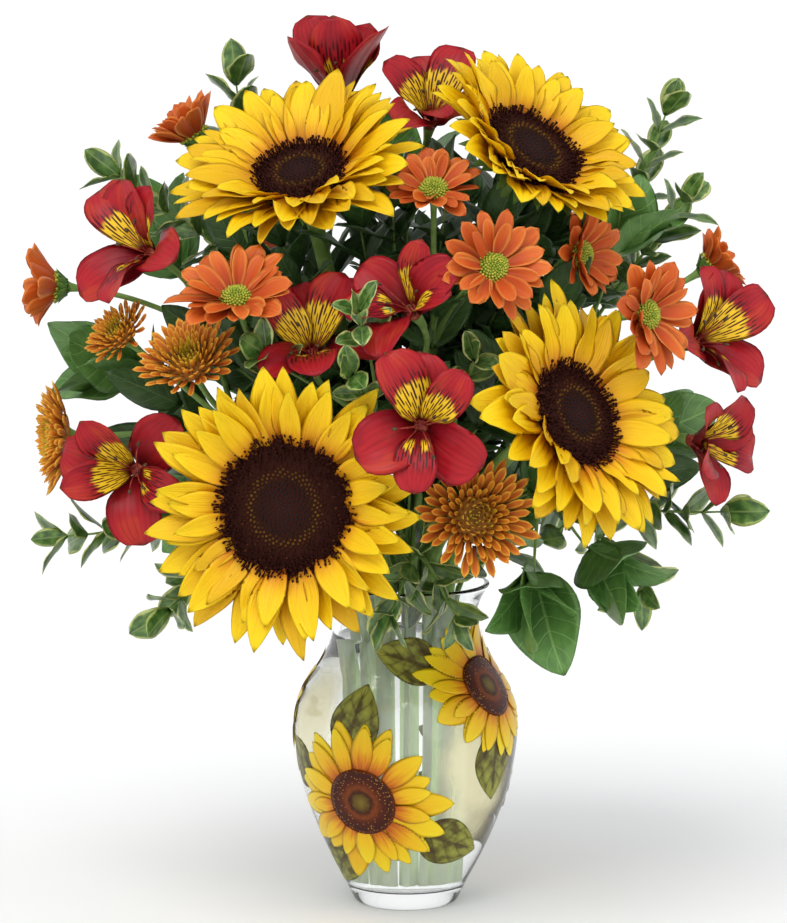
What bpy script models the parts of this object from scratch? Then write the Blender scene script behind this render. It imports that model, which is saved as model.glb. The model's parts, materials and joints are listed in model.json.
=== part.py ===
"""Flower arrangement standing in a clear glass vase: sunflowers, daisies, button
chrysanthemums, alstroemerias, small-leaved sprigs and broad leaves, with the water
that the stems stand in.

Frame: metres, +Z up, origin at the centre of the vase's underside. -Y is the front.
Each stem is straight inside the vase, passes the neck in a slot of its own, and then
curves out to its flowers. Lengths below are in millimetres until they meet MM.
"""

import math
from collections import namedtuple

import bmesh
import bpy
from mathutils import Matrix, Vector

MM = 0.001

# ---------------------------------------------------------------- driving dimensions

VASE_OUTSIDE = (  # height and outer radius of the vase, foot to rim
    (0, 23.5), (1.5, 25), (10, 29.2), (25, 37), (40, 43.5), (56, 49), (72, 52), (85, 52.8),
    (98, 50.2), (107, 45.8), (116, 40), (127, 35.5), (139, 33.8), (146.5, 35.8), (152.5, 39.5),
)
VASE_WALL = 2.8
VASE_FLOOR = 9.0
VASE_STEPS = 32
WATER_TOP = 129.0
GAP = 0.35  # clearance between neighbouring pieces

NECK_HEIGHT = 142.0  # where the stems leave their straight run
CUT_END_HEIGHT = 13.0  # the stems' cut ends, just above the vase's floor
FOOT_SHARE = 0.72  # how close the stems stand at the floor, against the neck
OUTER_SLOTS, OUTER_RADIUS = 16, 25.0
INNER_SLOTS, INNER_RADIUS = 9, 14.5

# what a kind of flower looks like: petals round, how deep the notches between them are,
# thickness, how much the bowl rises to the petal tips, receptacle radius and height,
# stem radius and pedicel radius
Kind = namedtuple("Kind", "petals notch thick rise cup_r cup_h trunk pedicel colour")
SUNFLOWER = Kind(18, 0.34, 1.3, 0.16, 17.0, 6.0, 4.2, 4.2, (0.95, 0.70, 0.04))
DAISY = Kind(12, 0.42, 1.2, 0.18, 5.0, 5.0, 2.2, 1.5, (0.85, 0.27, 0.06))
MUM = Kind(10, 0.20, 4.0, 0.05, 6.0, 5.0, 2.3, 1.6, (0.78, 0.38, 0.06))
LILY = Kind(6, 0.62, 1.3, 0.42, 3.2, 9.0, 2.6, 1.6, (0.62, 0.04, 0.05))

# at: centre of the flower; faces: degrees round to the right of the front, and up;
# reach: petal tips from the centre; eye: radius of the disc in the middle
Bloom = namedtuple("Bloom", "name kind at faces reach eye")
BLOOMS = {
    b.name: b
    for b in (
        Bloom("sunflower_1", SUNFLOWER, (-52, -112, 206), (-14, 2), 58, 30.5),
        Bloom("sunflower_2", SUNFLOWER, (-47, -52, 348), (-19, 55), 54, 21.5),
        Bloom("sunflower_3", SUNFLOWER, (57, -40, 358), (45, 45), 51, 26.0),
        Bloom("sunflower_4", SUNFLOWER, (74, -98, 244), (47, 24), 55, 24.0),
        Bloom("daisy_1", DAISY, (-75, -100, 296), (-8, 48), 27, 7.0),
        Bloom("daisy_2", DAISY, (12, -72, 342), (0, 48), 22, 6.5),
        Bloom("daisy_3", DAISY, (38, -106, 310), (22, 20), 26, 6.5),
        Bloom("daisy_4", DAISY, (79, -51, 312), (50, 8), 22, 6.0),
        Bloom("daisy_5", DAISY, (107, -80, 287), (40, 8), 26, 7.0),
        Bloom("daisy_6", DAISY, (-98, 2, 363), (-79, 55), 23, 6.0),
        Bloom("daisy_7", DAISY, (-162, -8, 294), (-82, 4), 23, 6.0),
        Bloom("daisy_8", DAISY, (141, -2, 302), (88, 32), 20, 6.0),
        Bloom("daisy_9", DAISY, (-72, 84, 300), (-142, 30), 25, 6.5),
        Bloom("daisy_10", DAISY, (88, 72, 301), (128, 28), 25, 6.5),
        Bloom("mum_1", MUM, (-96, -92, 267), (-18, 48), 25, 8.0),
        Bloom("mum_2", MUM, (30, -122, 202), (8, 12), 29, 9.0),
        Bloom("mum_3", MUM, (-130, -52, 276), (-42, 38), 18, 6.0),
        Bloom("mum_4", MUM, (-160, -22, 225), (-74, 2), 27, 8.0),
        Bloom("mum_5", MUM, (6, 112, 230), (176, 18), 27, 8.0),
        Bloom("alstroemeria_1", LILY, (6, -140, 244), (0, 6), 36, 4.0),
        Bloom("alstroemeria_2", LILY, (-42, -88, 275), (0, 44), 31, 4.0),
        Bloom("alstroemeria_3", LILY, (-2, -104, 295), (-33, 34), 31, 4.0),
        Bloom("alstroemeria_4", LILY, (-122, -44, 314), (-41, 22), 33, 4.0),
        Bloom("alstroemeria_5", LILY, (-124, -70, 215), (-12, 2), 34, 4.0),
        Bloom("alstroemeria_6", LILY, (138, -42, 272), (47, 14), 35, 4.0),
        Bloom("alstroemeria_7", LILY, (140, -40, 223), (51, -8), 28, 4.0),
        Bloom("alstroemeria_8", LILY, (-31, 4, 389), (-45, 80), 26, 4.0),
        Bloom("alstroemeria_9", LILY, (12, -20, 378), (10, 50), 27, 4.0),
        Bloom("alstroemeria_10", LILY, (40, 92, 268), (155, 22), 32, 4.0),
        Bloom("alstroemeria_11", LILY, (-38, 100, 261), (-160, 20), 32, 4.0),
    )
}

# slot: ring and number in the vase's neck, counted from +X towards +Y;
# fork: where a branched stem divides; flowers: what it carries
Stem = namedtuple("Stem", "name slot fork flowers")
STEMS = (
    Stem("sunflower_1_stem", ("outer", 11), None, ("sunflower_1",)),
    Stem("sunflower_2_stem", ("inner", 5), None, ("sunflower_2",)),
    Stem("sunflower_3_stem", ("inner", 8), None, ("sunflower_3",)),
    Stem("sunflower_4_stem", ("outer", 14), None, ("sunflower_4",)),
    Stem("daisy_stem_left", ("inner", 4), (-52, -14, 238), ("daisy_1", "daisy_6", "daisy_7")),
    Stem("daisy_stem_middle", ("inner", 7), (12, -42, 269), ("daisy_2", "daisy_3")),
    Stem("daisy_stem_right", ("inner", 0), (62, -18, 256), ("daisy_4", "daisy_5", "daisy_8")),
    Stem("daisy_stem_back", ("outer", 3), (20, 60, 228), ("daisy_9", "daisy_10")),
    Stem("mum_stem_left", ("outer", 10), (-70, -44, 220), ("mum_1", "mum_3", "mum_4")),
    Stem("mum_stem_front", ("outer", 13), None, ("mum_2",)),
    Stem("mum_stem_back", ("outer", 4), None, ("mum_5",)),
    Stem("alstroemeria_stem_middle", ("inner", 6), (-10, -49, 226),
         ("alstroemeria_1", "alstroemeria_2", "alstroemeria_3")),
    Stem("alstroemeria_stem_left", ("outer", 9), (-76, -28, 225), ("alstroemeria_4", "alstroemeria_5")),
    Stem("alstroemeria_stem_right", ("inner", 1), (80, -2, 226), ("alstroemeria_6", "alstroemeria_7")),
    Stem("alstroemeria_stem_top", ("centre", 0), (-6, 2, 315), ("alstroemeria_8", "alstroemeria_9")),
    Stem("alstroemeria_stem_back", ("inner", 2), (-6, 42, 222), ("alstroemeria_10", "alstroemeria_11")),
)

# foliage: every twig runs from the fork to its tip, with leaves near the tip
Twig = namedtuple("Twig", "tip pairs")
Foliage = namedtuple("Foliage", "name slot fork twigs leaf_length leaf_width trunk")
FOLIAGE = (
    Foliage("sprig_front", ("outer", 12), (5, -47, 174),
            (Twig((-7, -67, 150), 3), Twig((22, -64, 148), 3)), 20, 10, 1.6),
    Foliage("sprig_upper_left", ("inner", 3), (-68, 22, 290),
            (Twig((-80, 24, 386), 4), Twig((-134, 8, 344), 3)), 19, 9, 1.6),
    Foliage("sprig_right", ("outer", 2), (84, 44, 262),
            (Twig((122, 22, 372), 4), Twig((130, 14, 332), 3)), 20, 10, 1.6),
    Foliage("sprig_lower_left", ("outer", 8), (-72, -12, 182),
            (Twig((-158, -20, 178), 4), Twig((-108, -58, 150), 3)), 20, 9, 1.6),
    Foliage("sprig_lower_right", ("outer", 1), (78, 0, 183),
            (Twig((146, -24, 190), 4), Twig((108, -40, 158), 3)), 20, 9, 1.6),
    Foliage("leaves_left", ("outer", 7), (-70, 16, 240),
            (Twig((-124, 6, 254), 1), Twig((-108, 44, 296), 1), Twig((-96, 40, 200), 1)), 46, 30, 1.8),
    Foliage("leaves_right", ("outer", 15), (58, -16, 198),
            (Twig((98, 4, 308), 1), Twig((104, 2, 218), 1), Twig((84, -48, 176), 1),
             Twig((58, -66, 168), 1)), 46, 30, 1.8),
    Foliage("leaves_back", ("outer", 6), (-14, 60, 207),
            (Twig((-62, 98, 192), 1), Twig((54, 102, 190), 1), Twig((-8, 84, 330), 1)), 50, 32, 1.8),
)
LEAF_THICK = 1.4

# ---------------------------------------------------------------- scene and materials


def clear_scene():
    for obj in list(bpy.data.objects):
        bpy.data.objects.remove(obj)


def new_collection(name, hidden=False):
    collection = bpy.data.collections.new(name)
    bpy.context.scene.collection.children.link(collection)
    collection.hide_render = hidden
    return collection


def material(name, colour, roughness=0.6, transmission=0.0):
    made = bpy.data.materials.get(name)
    if made is None:
        made = bpy.data.materials.new(name)
        made.use_nodes = True
        shader = made.node_tree.nodes["Principled BSDF"]
        shader.inputs["Base Color"].default_value = (*colour, 1.0)
        shader.inputs["Roughness"].default_value = roughness
        shader.inputs["Transmission Weight"].default_value = transmission
    return made


def stem_green():
    return material("stem_green", (0.16, 0.30, 0.07), 0.6)


def leaf_green():
    return material("leaf_green", (0.10, 0.24, 0.05), 0.5)


# ---------------------------------------------------------------- shape helpers


def smooth_through(knots, per_span):
    """Points of a Catmull-Rom curve through the knots, per_span of them to a span."""
    ends = [knots[0], *knots, knots[-1]]
    points = []
    for i in range(len(knots) - 1):
        a, b, c, d = (Vector(p) for p in ends[i : i + 4])
        for step in range(per_span):
            t = step / per_span
            points.append(
                0.5 * (2 * b + (c - a) * t + (2 * a - 5 * b + 4 * c - d) * t * t
                       + (3 * b - a - 3 * c + d) * t ** 3)
            )
    points.append(Vector(knots[-1]))
    return points


def evaluated_mesh(obj):
    """The closed mesh that obj and its modifiers come to, in world space; obj is removed."""
    bpy.context.view_layer.update()
    graph = bpy.context.evaluated_depsgraph_get()
    mesh = bpy.data.meshes.new_from_object(obj.evaluated_get(graph))
    bm = bmesh.new()
    bm.from_mesh(mesh)
    bm.transform(obj.matrix_world)
    bmesh.ops.remove_doubles(bm, verts=bm.verts, dist=1e-6)
    bmesh.ops.recalc_face_normals(bm, faces=bm.faces)
    bm.to_mesh(mesh)
    bm.free()
    bpy.data.objects.remove(obj)
    return mesh


def turned_mesh(name, profile, steps):
    """A closed solid of revolution about Z from (radius, height) points in millimetres."""
    outline = bpy.data.meshes.new(name + "_profile")
    points = [(r * MM, 0, z * MM) for r, z in profile]
    outline.from_pydata(points, [(i, i + 1) for i in range(len(points) - 1)], [])
    obj = bpy.data.objects.new(name + "_profile", outline)
    bpy.context.scene.collection.objects.link(obj)
    screw = obj.modifiers.new("turn", "SCREW")
    screw.steps = screw.render_steps = steps
    screw.use_merge_vertices = True
    screw.merge_threshold = 1e-6
    return evaluated_mesh(obj)


def add_mesh_object(name, mesh, collection, surface):
    obj = bpy.data.objects.new(name, mesh)
    collection.objects.link(obj)
    mesh.materials.clear()
    mesh.materials.append(surface)
    mesh.shade_smooth()
    mesh.set_sharp_from_angle(angle=math.radians(40))
    return obj


def direction(faces):
    """The unit vector that looks round degrees to the right of the front, and up degrees."""
    around, up = (math.radians(a) for a in faces)
    return Vector((math.sin(around) * math.cos(up), -math.cos(around) * math.cos(up), math.sin(up)))


def turn_to(obj, facing):
    """Points the object's +Z along facing, with its +Y kept as high as it can be."""
    obj.rotation_euler = facing.to_track_quat("Z", "Y").to_euler()


def tube(name, points, radius, collection, surface, sides=1):
    """A round stem along the points, which are in millimetres."""
    curve = bpy.data.curves.new(name, "CURVE")
    curve.dimensions = "3D"
    curve.bevel_depth = radius * MM
    curve.bevel_resolution = sides
    curve.use_fill_caps = True
    spline = curve.splines.new("POLY")
    spline.points.add(len(points) - 1)
    for point, place in zip(spline.points, points):
        point.co = (*(Vector(place) * MM), 1.0)
    obj = bpy.data.objects.new(name, curve)
    collection.objects.link(obj)
    return to_mesh_object(obj, collection, surface)


def to_mesh_object(obj, collection, surface):
    """A closed mesh object in place of obj, as the viewport shows it."""
    name = obj.name
    return add_mesh_object(name, evaluated_mesh(obj), collection, surface)


def joined(name, pieces, collection, surface):
    """One solid: the union of pieces that cross each other."""
    body, *others = pieces
    for other in others:
        union = body.modifiers.new("union", "BOOLEAN")
        union.operation = "UNION"
        union.solver = "MANIFOLD"  # EXACT loses a branch where thin tubes meet at a shallow angle
        union.object = other
    whole = to_mesh_object(body, collection, surface)
    for other in others:
        bpy.data.objects.remove(other)
    whole.name = name
    return whole


# ---------------------------------------------------------------- stems


def slot_place(slot):
    ring, number = slot
    if ring == "centre":
        return Vector((0, 0))
    count, radius = (
        (OUTER_SLOTS, OUTER_RADIUS) if ring == "outer" else (INNER_SLOTS, INNER_RADIUS)
    )
    angle = math.tau * number / count
    return Vector((math.cos(angle), math.sin(angle))) * radius


def straight_run(slot):
    """The two ends of a stem's straight part: its cut end, and where it leaves the neck."""
    place = slot_place(slot)
    return (
        Vector((*(place * FOOT_SHARE), CUT_END_HEIGHT)),
        Vector((*place, NECK_HEIGHT)),
    )


def bent(start, start_way, end, end_way, steps, pull=0.38):
    """Points of a cubic bend that leaves start along start_way and reaches end along end_way."""
    reach = (end - start).length * pull
    a, b, c, d = start, start + start_way * reach, end - end_way * reach, end
    points = []
    for i in range(1, steps + 1):
        t = i / steps
        s = 1 - t
        points.append(a * s ** 3 + b * 3 * s * s * t + c * 3 * s * t * t + d * t ** 3)
    return points


def flower_foot(bloom):
    """Where the stem meets the underside of a flower."""
    depth = bloom.kind.thick / 2 + GAP + bloom_depth(bloom)
    return Vector(bloom.at) - direction(bloom.faces) * depth


def bloom_depth(bloom):
    """How far the middle of the bowl lies behind the flower's centre."""
    return 12.0 if bloom.kind is LILY else 0.0


def receptacle(bloom, collection, surface):
    """The green cup under a flower, which the stem runs into."""
    kind = bloom.kind
    wide = min(kind.cup_r, bloom.eye * 0.8) if kind is SUNFLOWER else kind.cup_r
    profile = ((0, 0), (wide, 0), (kind.pedicel * 0.9, -kind.cup_h), (0, -kind.cup_h))
    mesh = turned_mesh(bloom.name + "_cup", profile, 8)
    cup = add_mesh_object(bloom.name + "_cup", mesh, collection, surface)
    cup.location = flower_foot(bloom) * MM
    turn_to(cup, direction(bloom.faces))
    bpy.context.view_layer.update()
    return cup


def make_stem(stem, collection):
    surface = stem_green()
    blooms = [BLOOMS[name] for name in stem.flowers]
    kind = blooms[0].kind
    cut_end, neck = straight_run(stem.slot)
    rising = (neck - cut_end).normalized()
    pieces = []
    if stem.fork is None:
        start, way, radius, trunk = neck, rising, kind.trunk, [cut_end, neck]
    else:
        fork = Vector(stem.fork)
        way = ((fork - neck).normalized() + Vector((0, 0, 0.6))).normalized()
        run = [cut_end, neck, *bent(neck, rising, fork, way, 4)]
        pieces.append(tube(stem.name, run, kind.trunk, collection, surface))
        start, radius, trunk = fork, kind.pedicel, []
    for number, bloom in enumerate(blooms):
        facing = direction(bloom.faces)
        end = flower_foot(bloom) - facing * kind.cup_h * 0.6
        begin = start - way * radius * (0.6 + 0.5 * number) if stem.fork else start
        leave = way if stem.fork is None else ((end - start).normalized() + way * 0.6).normalized()
        run = (trunk or [begin]) + bent(start, leave, end, facing, 5)
        pieces.append(tube(bloom.name + "_run", run, radius, collection, surface))
        pieces.append(receptacle(bloom, collection, surface))
    return joined(stem.name, pieces, collection, surface)


# ---------------------------------------------------------------- flowers


def bowl_height(bloom, radius):
    """Height of the petal bowl's middle surface at a radius, from the flower's centre."""
    kind = bloom.kind
    share = max(0.0, (radius - bloom.eye) / (bloom.reach - bloom.eye))
    if kind is LILY:
        return -bloom_depth(bloom) * (1 - share) ** 2 + bloom.reach * kind.rise * share * 0.4
    return bloom.reach * kind.rise * share ** 0.8


def petal_bowl(bloom, collection):
    """The petals as one lobed bowl, closed on both faces."""
    kind = bloom.kind
    per_petal = 3 if kind is LILY else 2
    radii = [0.0, bloom.eye, bloom.reach]
    if kind is LILY or kind is MUM:
        radii[2:2] = [bloom.eye + (bloom.reach - bloom.eye) * 0.45]
    half = kind.thick / 2
    top = [(r, bowl_height(bloom, r) + half) for r in radii]
    under = [(r, bowl_height(bloom, r) - half) for r in reversed(radii)]
    mesh = turned_mesh(bloom.name, top + under, kind.petals * per_petal)
    for vertex in mesh.vertices:
        flat = Vector((vertex.co.x, vertex.co.y))
        radius = flat.length / MM
        if radius <= bloom.eye * 1.01:
            continue
        angle = math.atan2(flat.y, flat.x) + (math.pi / 6 if kind is LILY else 0)
        valley = (1 - math.cos(angle * kind.petals)) / 2
        lobed = bloom.eye + (radius - bloom.eye) * (1 - kind.notch * valley)
        flat *= lobed / radius
        rise = (bowl_height(bloom, lobed) - bowl_height(bloom, radius)) * MM
        vertex.co = (flat.x, flat.y, vertex.co.z + rise)
    name = bloom.name + "_petals" if kind is SUNFLOWER else bloom.name
    petals = add_mesh_object(name, mesh, collection, material(name_of(kind), kind.colour, 0.5))
    petals.location = Vector(bloom.at) * MM
    turn_to(petals, direction(bloom.faces))
    return petals


def name_of(kind):
    names = ((SUNFLOWER, "sunflower_petal"), (DAISY, "daisy_petal"), (MUM, "mum_petal"))
    return next((name for known, name in names if known is kind), "alstroemeria_petal")


def sunflower_disc(bloom, collection):
    """The dark disc of a sunflower, a low dome that lies on the petal bowl."""
    floor = bloom.kind.thick / 2 + GAP
    edge = bloom.eye * 0.97
    profile = ((0, floor + 4.2), (edge * 0.8, floor + 4.6), (edge, floor + 2.0), (edge, floor), (0, floor))
    mesh = turned_mesh(bloom.name + "_disc", profile, 18)
    brown = material("sunflower_disc", (0.06, 0.025, 0.012), 0.85)
    disc = add_mesh_object(bloom.name + "_disc", mesh, collection, brown)
    disc.location = Vector(bloom.at) * MM
    turn_to(disc, direction(bloom.faces))
    return disc


# ---------------------------------------------------------------- foliage


def leaf(name, base, way, up, length, width, collection, surface):
    """A flat lens-shaped leaf that starts a little inside its twig and grows along way."""
    bm = bmesh.new()
    bmesh.ops.create_uvsphere(bm, u_segments=4, v_segments=4, radius=0.5)
    bmesh.ops.rotate(bm, verts=bm.verts, cent=(0, 0, 0), matrix=quarter_turn())
    bmesh.ops.scale(bm, verts=bm.verts, vec=Vector((width, length, LEAF_THICK)) * MM)
    bmesh.ops.translate(bm, verts=bm.verts, vec=(0, length * 0.5 * MM, 0))
    mesh = bpy.data.meshes.new(name)
    bm.to_mesh(mesh)
    bm.free()
    obj = add_mesh_object(name, mesh, collection, surface)
    along = way.normalized()
    side = along.cross(up).normalized()
    normal = side.cross(along)
    rotation = matrix_of(side, along, normal)
    obj.location = Vector(base) * MM
    obj.rotation_euler = rotation.to_euler()
    bpy.context.view_layer.update()
    return obj


def quarter_turn():
    """Turns the sphere's poles from Z to Y, so that they become the leaf's base and tip."""
    return matrix_of(Vector((1, 0, 0)), Vector((0, 0, -1)), Vector((0, 1, 0)))


def matrix_of(x, y, z):
    return Matrix((x, y, z)).transposed()


def make_foliage(plant, collection):
    surface = leaf_green()
    cut_end, neck = straight_run(plant.slot)
    rising = (neck - cut_end).normalized()
    fork = Vector(plant.fork)
    way = ((fork - neck).normalized() + Vector((0, 0, 0.3))).normalized()
    run = [cut_end, neck, *bent(neck, rising, fork, way, 4)]
    pieces = [tube(plant.name, run, plant.trunk, collection, surface)]
    for number, twig in enumerate(plant.twigs):
        tip = Vector(twig.tip)
        heading = (tip - fork).normalized()
        leave = (heading + way * 0.5).normalized()
        points = [fork - leave * plant.trunk * (0.7 + 0.4 * number), *bent(fork, leave, tip, heading, 4)]
        name = f"{plant.name}_twig_{number}"
        pieces.append(tube(name, points, plant.trunk * 0.75, collection, surface))
        pieces += twig_leaves(plant, name, points, twig.pairs, collection, surface)
    return joined(plant.name, pieces, collection, surface)


def twig_leaves(plant, name, points, pairs, collection, surface):
    """Leaf pairs, each turned a quarter round from the last, and one leaf at the tip."""
    made = []
    along = (points[-1] - points[-2]).normalized()
    side = along.cross(Vector((0, 0, 1))).normalized()
    over = side.cross(along)
    size = (plant.leaf_length, plant.leaf_width)
    made.append(leaf(name + "_tip", points[-1] - along * 1.5, along, over, *size, collection, surface))
    for pair in range(pairs if plant.leaf_length < 40 else 0):
        base = points[-1] - along * (5 + plant.leaf_length * 0.45 * pair)
        across = side if pair % 2 == 0 else over
        for sign in (1, -1):
            way = along * 0.7 + across * sign
            up = over if pair % 2 == 0 else side
            made.append(leaf(f"{name}_{pair}_{sign}", base, way, up, *size, collection, surface))
    return made


# ---------------------------------------------------------------- vase and water


def vase_profiles():
    """Outer and inner wall as (radius, height) points, foot to rim."""
    outside = [(p.y, p.x) for p in smooth_through(VASE_OUTSIDE, 1)]
    inside = [(r - VASE_WALL, z) for r, z in outside if z > VASE_FLOOR]
    return outside, inside


def make_vase(collection):
    outside, inside = vase_profiles()
    rim = [(outside[-1][0] - VASE_WALL / 2, outside[-1][1] + VASE_WALL * 0.35)]
    floor = [(inside[0][0] - 1.8, VASE_FLOOR), (0, VASE_FLOOR)]
    profile = [(0, 0), *outside, *rim, *reversed(inside), *floor]
    mesh = turned_mesh("vase", profile, VASE_STEPS)
    return add_mesh_object("vase", mesh, collection, material("glass", (0.92, 0.97, 0.95), 0.02, 1.0))


def make_water(collection, cutters):
    """Water up to just below the neck, with the stems' places cut out of it."""
    _, inside = vase_profiles()
    wall = [(r - GAP, z) for r, z in inside if z < WATER_TOP]
    below, above = wall[-1], next((r - GAP, z) for r, z in inside if z >= WATER_TOP)
    share = (WATER_TOP - below[1]) / (above[1] - below[1])
    wall.append((below[0] + (above[0] - below[0]) * share, WATER_TOP))
    floor = VASE_FLOOR + GAP
    profile = [(0, floor), (wall[0][0] - 2, floor), *wall, (0, WATER_TOP)]
    mesh = turned_mesh("water", profile, VASE_STEPS)
    water = add_mesh_object("water", mesh, collection, material("water", (0.85, 0.93, 0.88), 0.02, 1.0))
    for slot, radius in stem_runs():
        low, high = straight_run(slot)
        rising = (high - low).normalized()
        run = [low - rising * GAP, low + rising * (WATER_TOP - CUT_END_HEIGHT + 8)]
        cutter = tube(f"cut_{slot[0]}_{slot[1]}", run, radius + GAP, cutters, stem_green())
        cutter.display_type = "WIRE"
        cutter.hide_render = True
        cut = water.modifiers.new("stem", "BOOLEAN")
        cut.operation = "DIFFERENCE"
        cut.object = cutter
    return water


def stem_runs():
    """Slot and radius of everything that stands in the water."""
    for stem in STEMS:
        yield stem.slot, BLOOMS[stem.flowers[0]].kind.trunk
    for plant in FOLIAGE:
        yield plant.slot, plant.trunk


# ---------------------------------------------------------------- the whole


def main():
    clear_scene()
    parts = new_collection("flower_arrangement")
    cutters = new_collection("cutters", hidden=True)
    make_vase(parts)
    for bloom in BLOOMS.values():
        petal_bowl(bloom, parts)
        if bloom.kind is SUNFLOWER:
            sunflower_disc(bloom, parts)
    for stem in STEMS:
        make_stem(stem, parts)
    for plant in FOLIAGE:
        make_foliage(plant, parts)
    make_water(parts, cutters)


main()
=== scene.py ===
"""Flower arrangement in a clear glass vase: the looks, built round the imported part.

Lengths are in millimetres until a mesh is made, and in metres from then on. The vase stands
on the floor at the origin, and the front faces -Y.
"""

import json
import math
from collections import namedtuple

import bmesh
import bpy
import numpy as np
from bpy.props import FloatProperty, FloatVectorProperty, IntProperty, PointerProperty
from mathutils import Matrix, Vector

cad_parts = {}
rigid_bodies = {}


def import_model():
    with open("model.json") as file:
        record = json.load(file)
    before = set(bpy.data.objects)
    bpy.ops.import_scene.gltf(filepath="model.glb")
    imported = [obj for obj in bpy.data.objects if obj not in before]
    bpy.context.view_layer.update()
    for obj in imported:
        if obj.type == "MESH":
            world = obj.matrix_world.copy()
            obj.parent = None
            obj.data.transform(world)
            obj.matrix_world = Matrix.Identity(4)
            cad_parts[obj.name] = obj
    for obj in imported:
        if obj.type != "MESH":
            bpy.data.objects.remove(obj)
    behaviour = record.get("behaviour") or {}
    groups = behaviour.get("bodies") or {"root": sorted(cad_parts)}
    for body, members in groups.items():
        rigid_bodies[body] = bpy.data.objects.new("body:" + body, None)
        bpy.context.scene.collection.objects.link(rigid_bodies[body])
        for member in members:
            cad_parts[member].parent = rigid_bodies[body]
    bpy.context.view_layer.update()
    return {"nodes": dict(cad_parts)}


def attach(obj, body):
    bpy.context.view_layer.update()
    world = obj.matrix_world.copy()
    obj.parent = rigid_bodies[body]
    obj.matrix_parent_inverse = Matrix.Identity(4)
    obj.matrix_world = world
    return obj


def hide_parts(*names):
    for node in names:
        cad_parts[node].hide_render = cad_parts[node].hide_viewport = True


bl_info = {
    "name": "Flower arrangement in a vase",
    "version": (1, 0, 0),
    "blender": (4, 5, 0),
    "location": "3D View > Sidebar > Flowers",
    "description": "Builds a vase of sunflowers, daisies, mums, alstroemerias and foliage",
    "category": "Add Mesh",
}

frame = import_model()
MM = 0.001
GOLDEN_ANGLE = math.pi * (3 - math.sqrt(5))

# ---------------------------------------------------------------- node trees


class Num:
    """A number in a node tree, on which Python's operators add Math nodes."""

    def __init__(self, graph, socket):
        self.graph, self.socket = graph, socket

    def _with(self, operation, *values):
        node = self.graph.node(
            "ShaderNodeMath", {"operation": operation}, dict(enumerate(values))
        )
        return Num(self.graph, node.outputs[0])

    def __add__(self, other):
        return self._with("ADD", self, other)

    def __sub__(self, other):
        return self._with("SUBTRACT", self, other)

    def __rsub__(self, other):
        return self._with("SUBTRACT", other, self)

    def __mul__(self, other):
        return self._with("MULTIPLY", self, other)

    def __truediv__(self, other):
        return self._with("DIVIDE", self, other)

    def __pow__(self, other):
        return self._with("POWER", self, other)

    def __neg__(self):
        return self._with("MULTIPLY", self, -1.0)

    __radd__, __rmul__ = __add__, __mul__

    def sin(self):
        return self._with("SINE", self)

    def cos(self):
        return self._with("COSINE", self)

    def size(self):
        return self._with("ABSOLUTE", self)

    def floor(self):
        return self._with("FLOOR", self)

    def fraction(self):
        return self._with("FRACT", self)

    def above(self, low, high):
        """0 below low, 1 above high, and a soft step between them."""
        node = self.graph.node(
            "ShaderNodeMapRange",
            {"interpolation_type": "SMOOTHSTEP"},
            {"Value": self, "From Min": low, "From Max": high},
        )
        return Num(self.graph, node.outputs[0])


class Graph:
    """Adds nodes to a tree: a type, its settings, then its sockets' values or links."""

    def __init__(self, tree):
        self.tree = tree

    def node(self, kind, settings=None, sockets=None):
        made = self.tree.nodes.new(kind)
        for key, value in (settings or {}).items():
            if key == "stops":
                self._set_stops(made.color_ramp, value)
            else:
                setattr(made, key, value)
        for key, value in (sockets or {}).items():
            value = value.socket if isinstance(value, Num) else value
            if isinstance(value, bpy.types.NodeSocket):
                self.tree.links.new(value, made.inputs[key])
            else:
                made.inputs[key].default_value = value
        return made

    @staticmethod
    def _set_stops(ramp, stops):
        while len(ramp.elements) < len(stops):
            ramp.elements.new(0.5)
        for element, (place, colour) in zip(ramp.elements, stops):
            element.position = place
            element.color = (*colour, 1.0)

    def number(self, kind, settings=None, sockets=None, output=0):
        return Num(self, self.node(kind, settings, sockets).outputs[output])

    def ramp(self, value, stops):
        return self.node("ShaderNodeValToRGB", {"stops": stops}, {0: value}).outputs[0]

    def mix(self, share, first, second, blend="MIX"):
        first, second = (
            (*c, 1.0) if isinstance(c, tuple) and len(c) == 3 else c for c in (first, second)
        )
        node = self.node(
            "ShaderNodeMix",
            {"data_type": "RGBA", "blend_type": blend},
            {0: share, 6: first, 7: second},
        )
        return node.outputs[2]

    def vector(self, x, y, z):
        return self.node("ShaderNodeCombineXYZ", {}, {0: x, 1: y, 2: z}).outputs[0]

    def vector_math(self, operation, sockets):
        return self.node("ShaderNodeVectorMath", {"operation": operation}, sockets).outputs[0]

    def attribute(self, name):
        return self.number("ShaderNodeAttribute", {"attribute_name": name}, output=2)

    def noise(self, place, scale, detail=2.0, rough=0.5):
        return self.number(
            "ShaderNodeTexNoise", {},
            {"Vector": place, "Scale": scale, "Detail": detail, "Roughness": rough},
        )

    def bump(self, height, strength, distance):
        return self.node(
            "ShaderNodeBump", {},
            {"Height": height, "Strength": strength, "Distance": distance},
        ).outputs[0]


def finish(name, **sockets):
    """A material with one Principled BSDF, and its graph for what feeds it."""
    surface = bpy.data.materials.new(name)
    surface.use_nodes = True
    surface.node_tree.nodes.clear()
    graph = Graph(surface.node_tree)
    named = {key.replace("_", " "): value for key, value in sockets.items()}
    shader = graph.node("ShaderNodeBsdfPrincipled", {}, named)
    graph.node("ShaderNodeOutputMaterial", {}, {"Surface": shader.outputs[0]})
    return surface, graph, shader


def feed(graph, shader, **links):
    for name, value in links.items():
        socket = shader.inputs[name.replace("_", " ")]
        graph.tree.links.new(value.socket if isinstance(value, Num) else value, socket)


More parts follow.
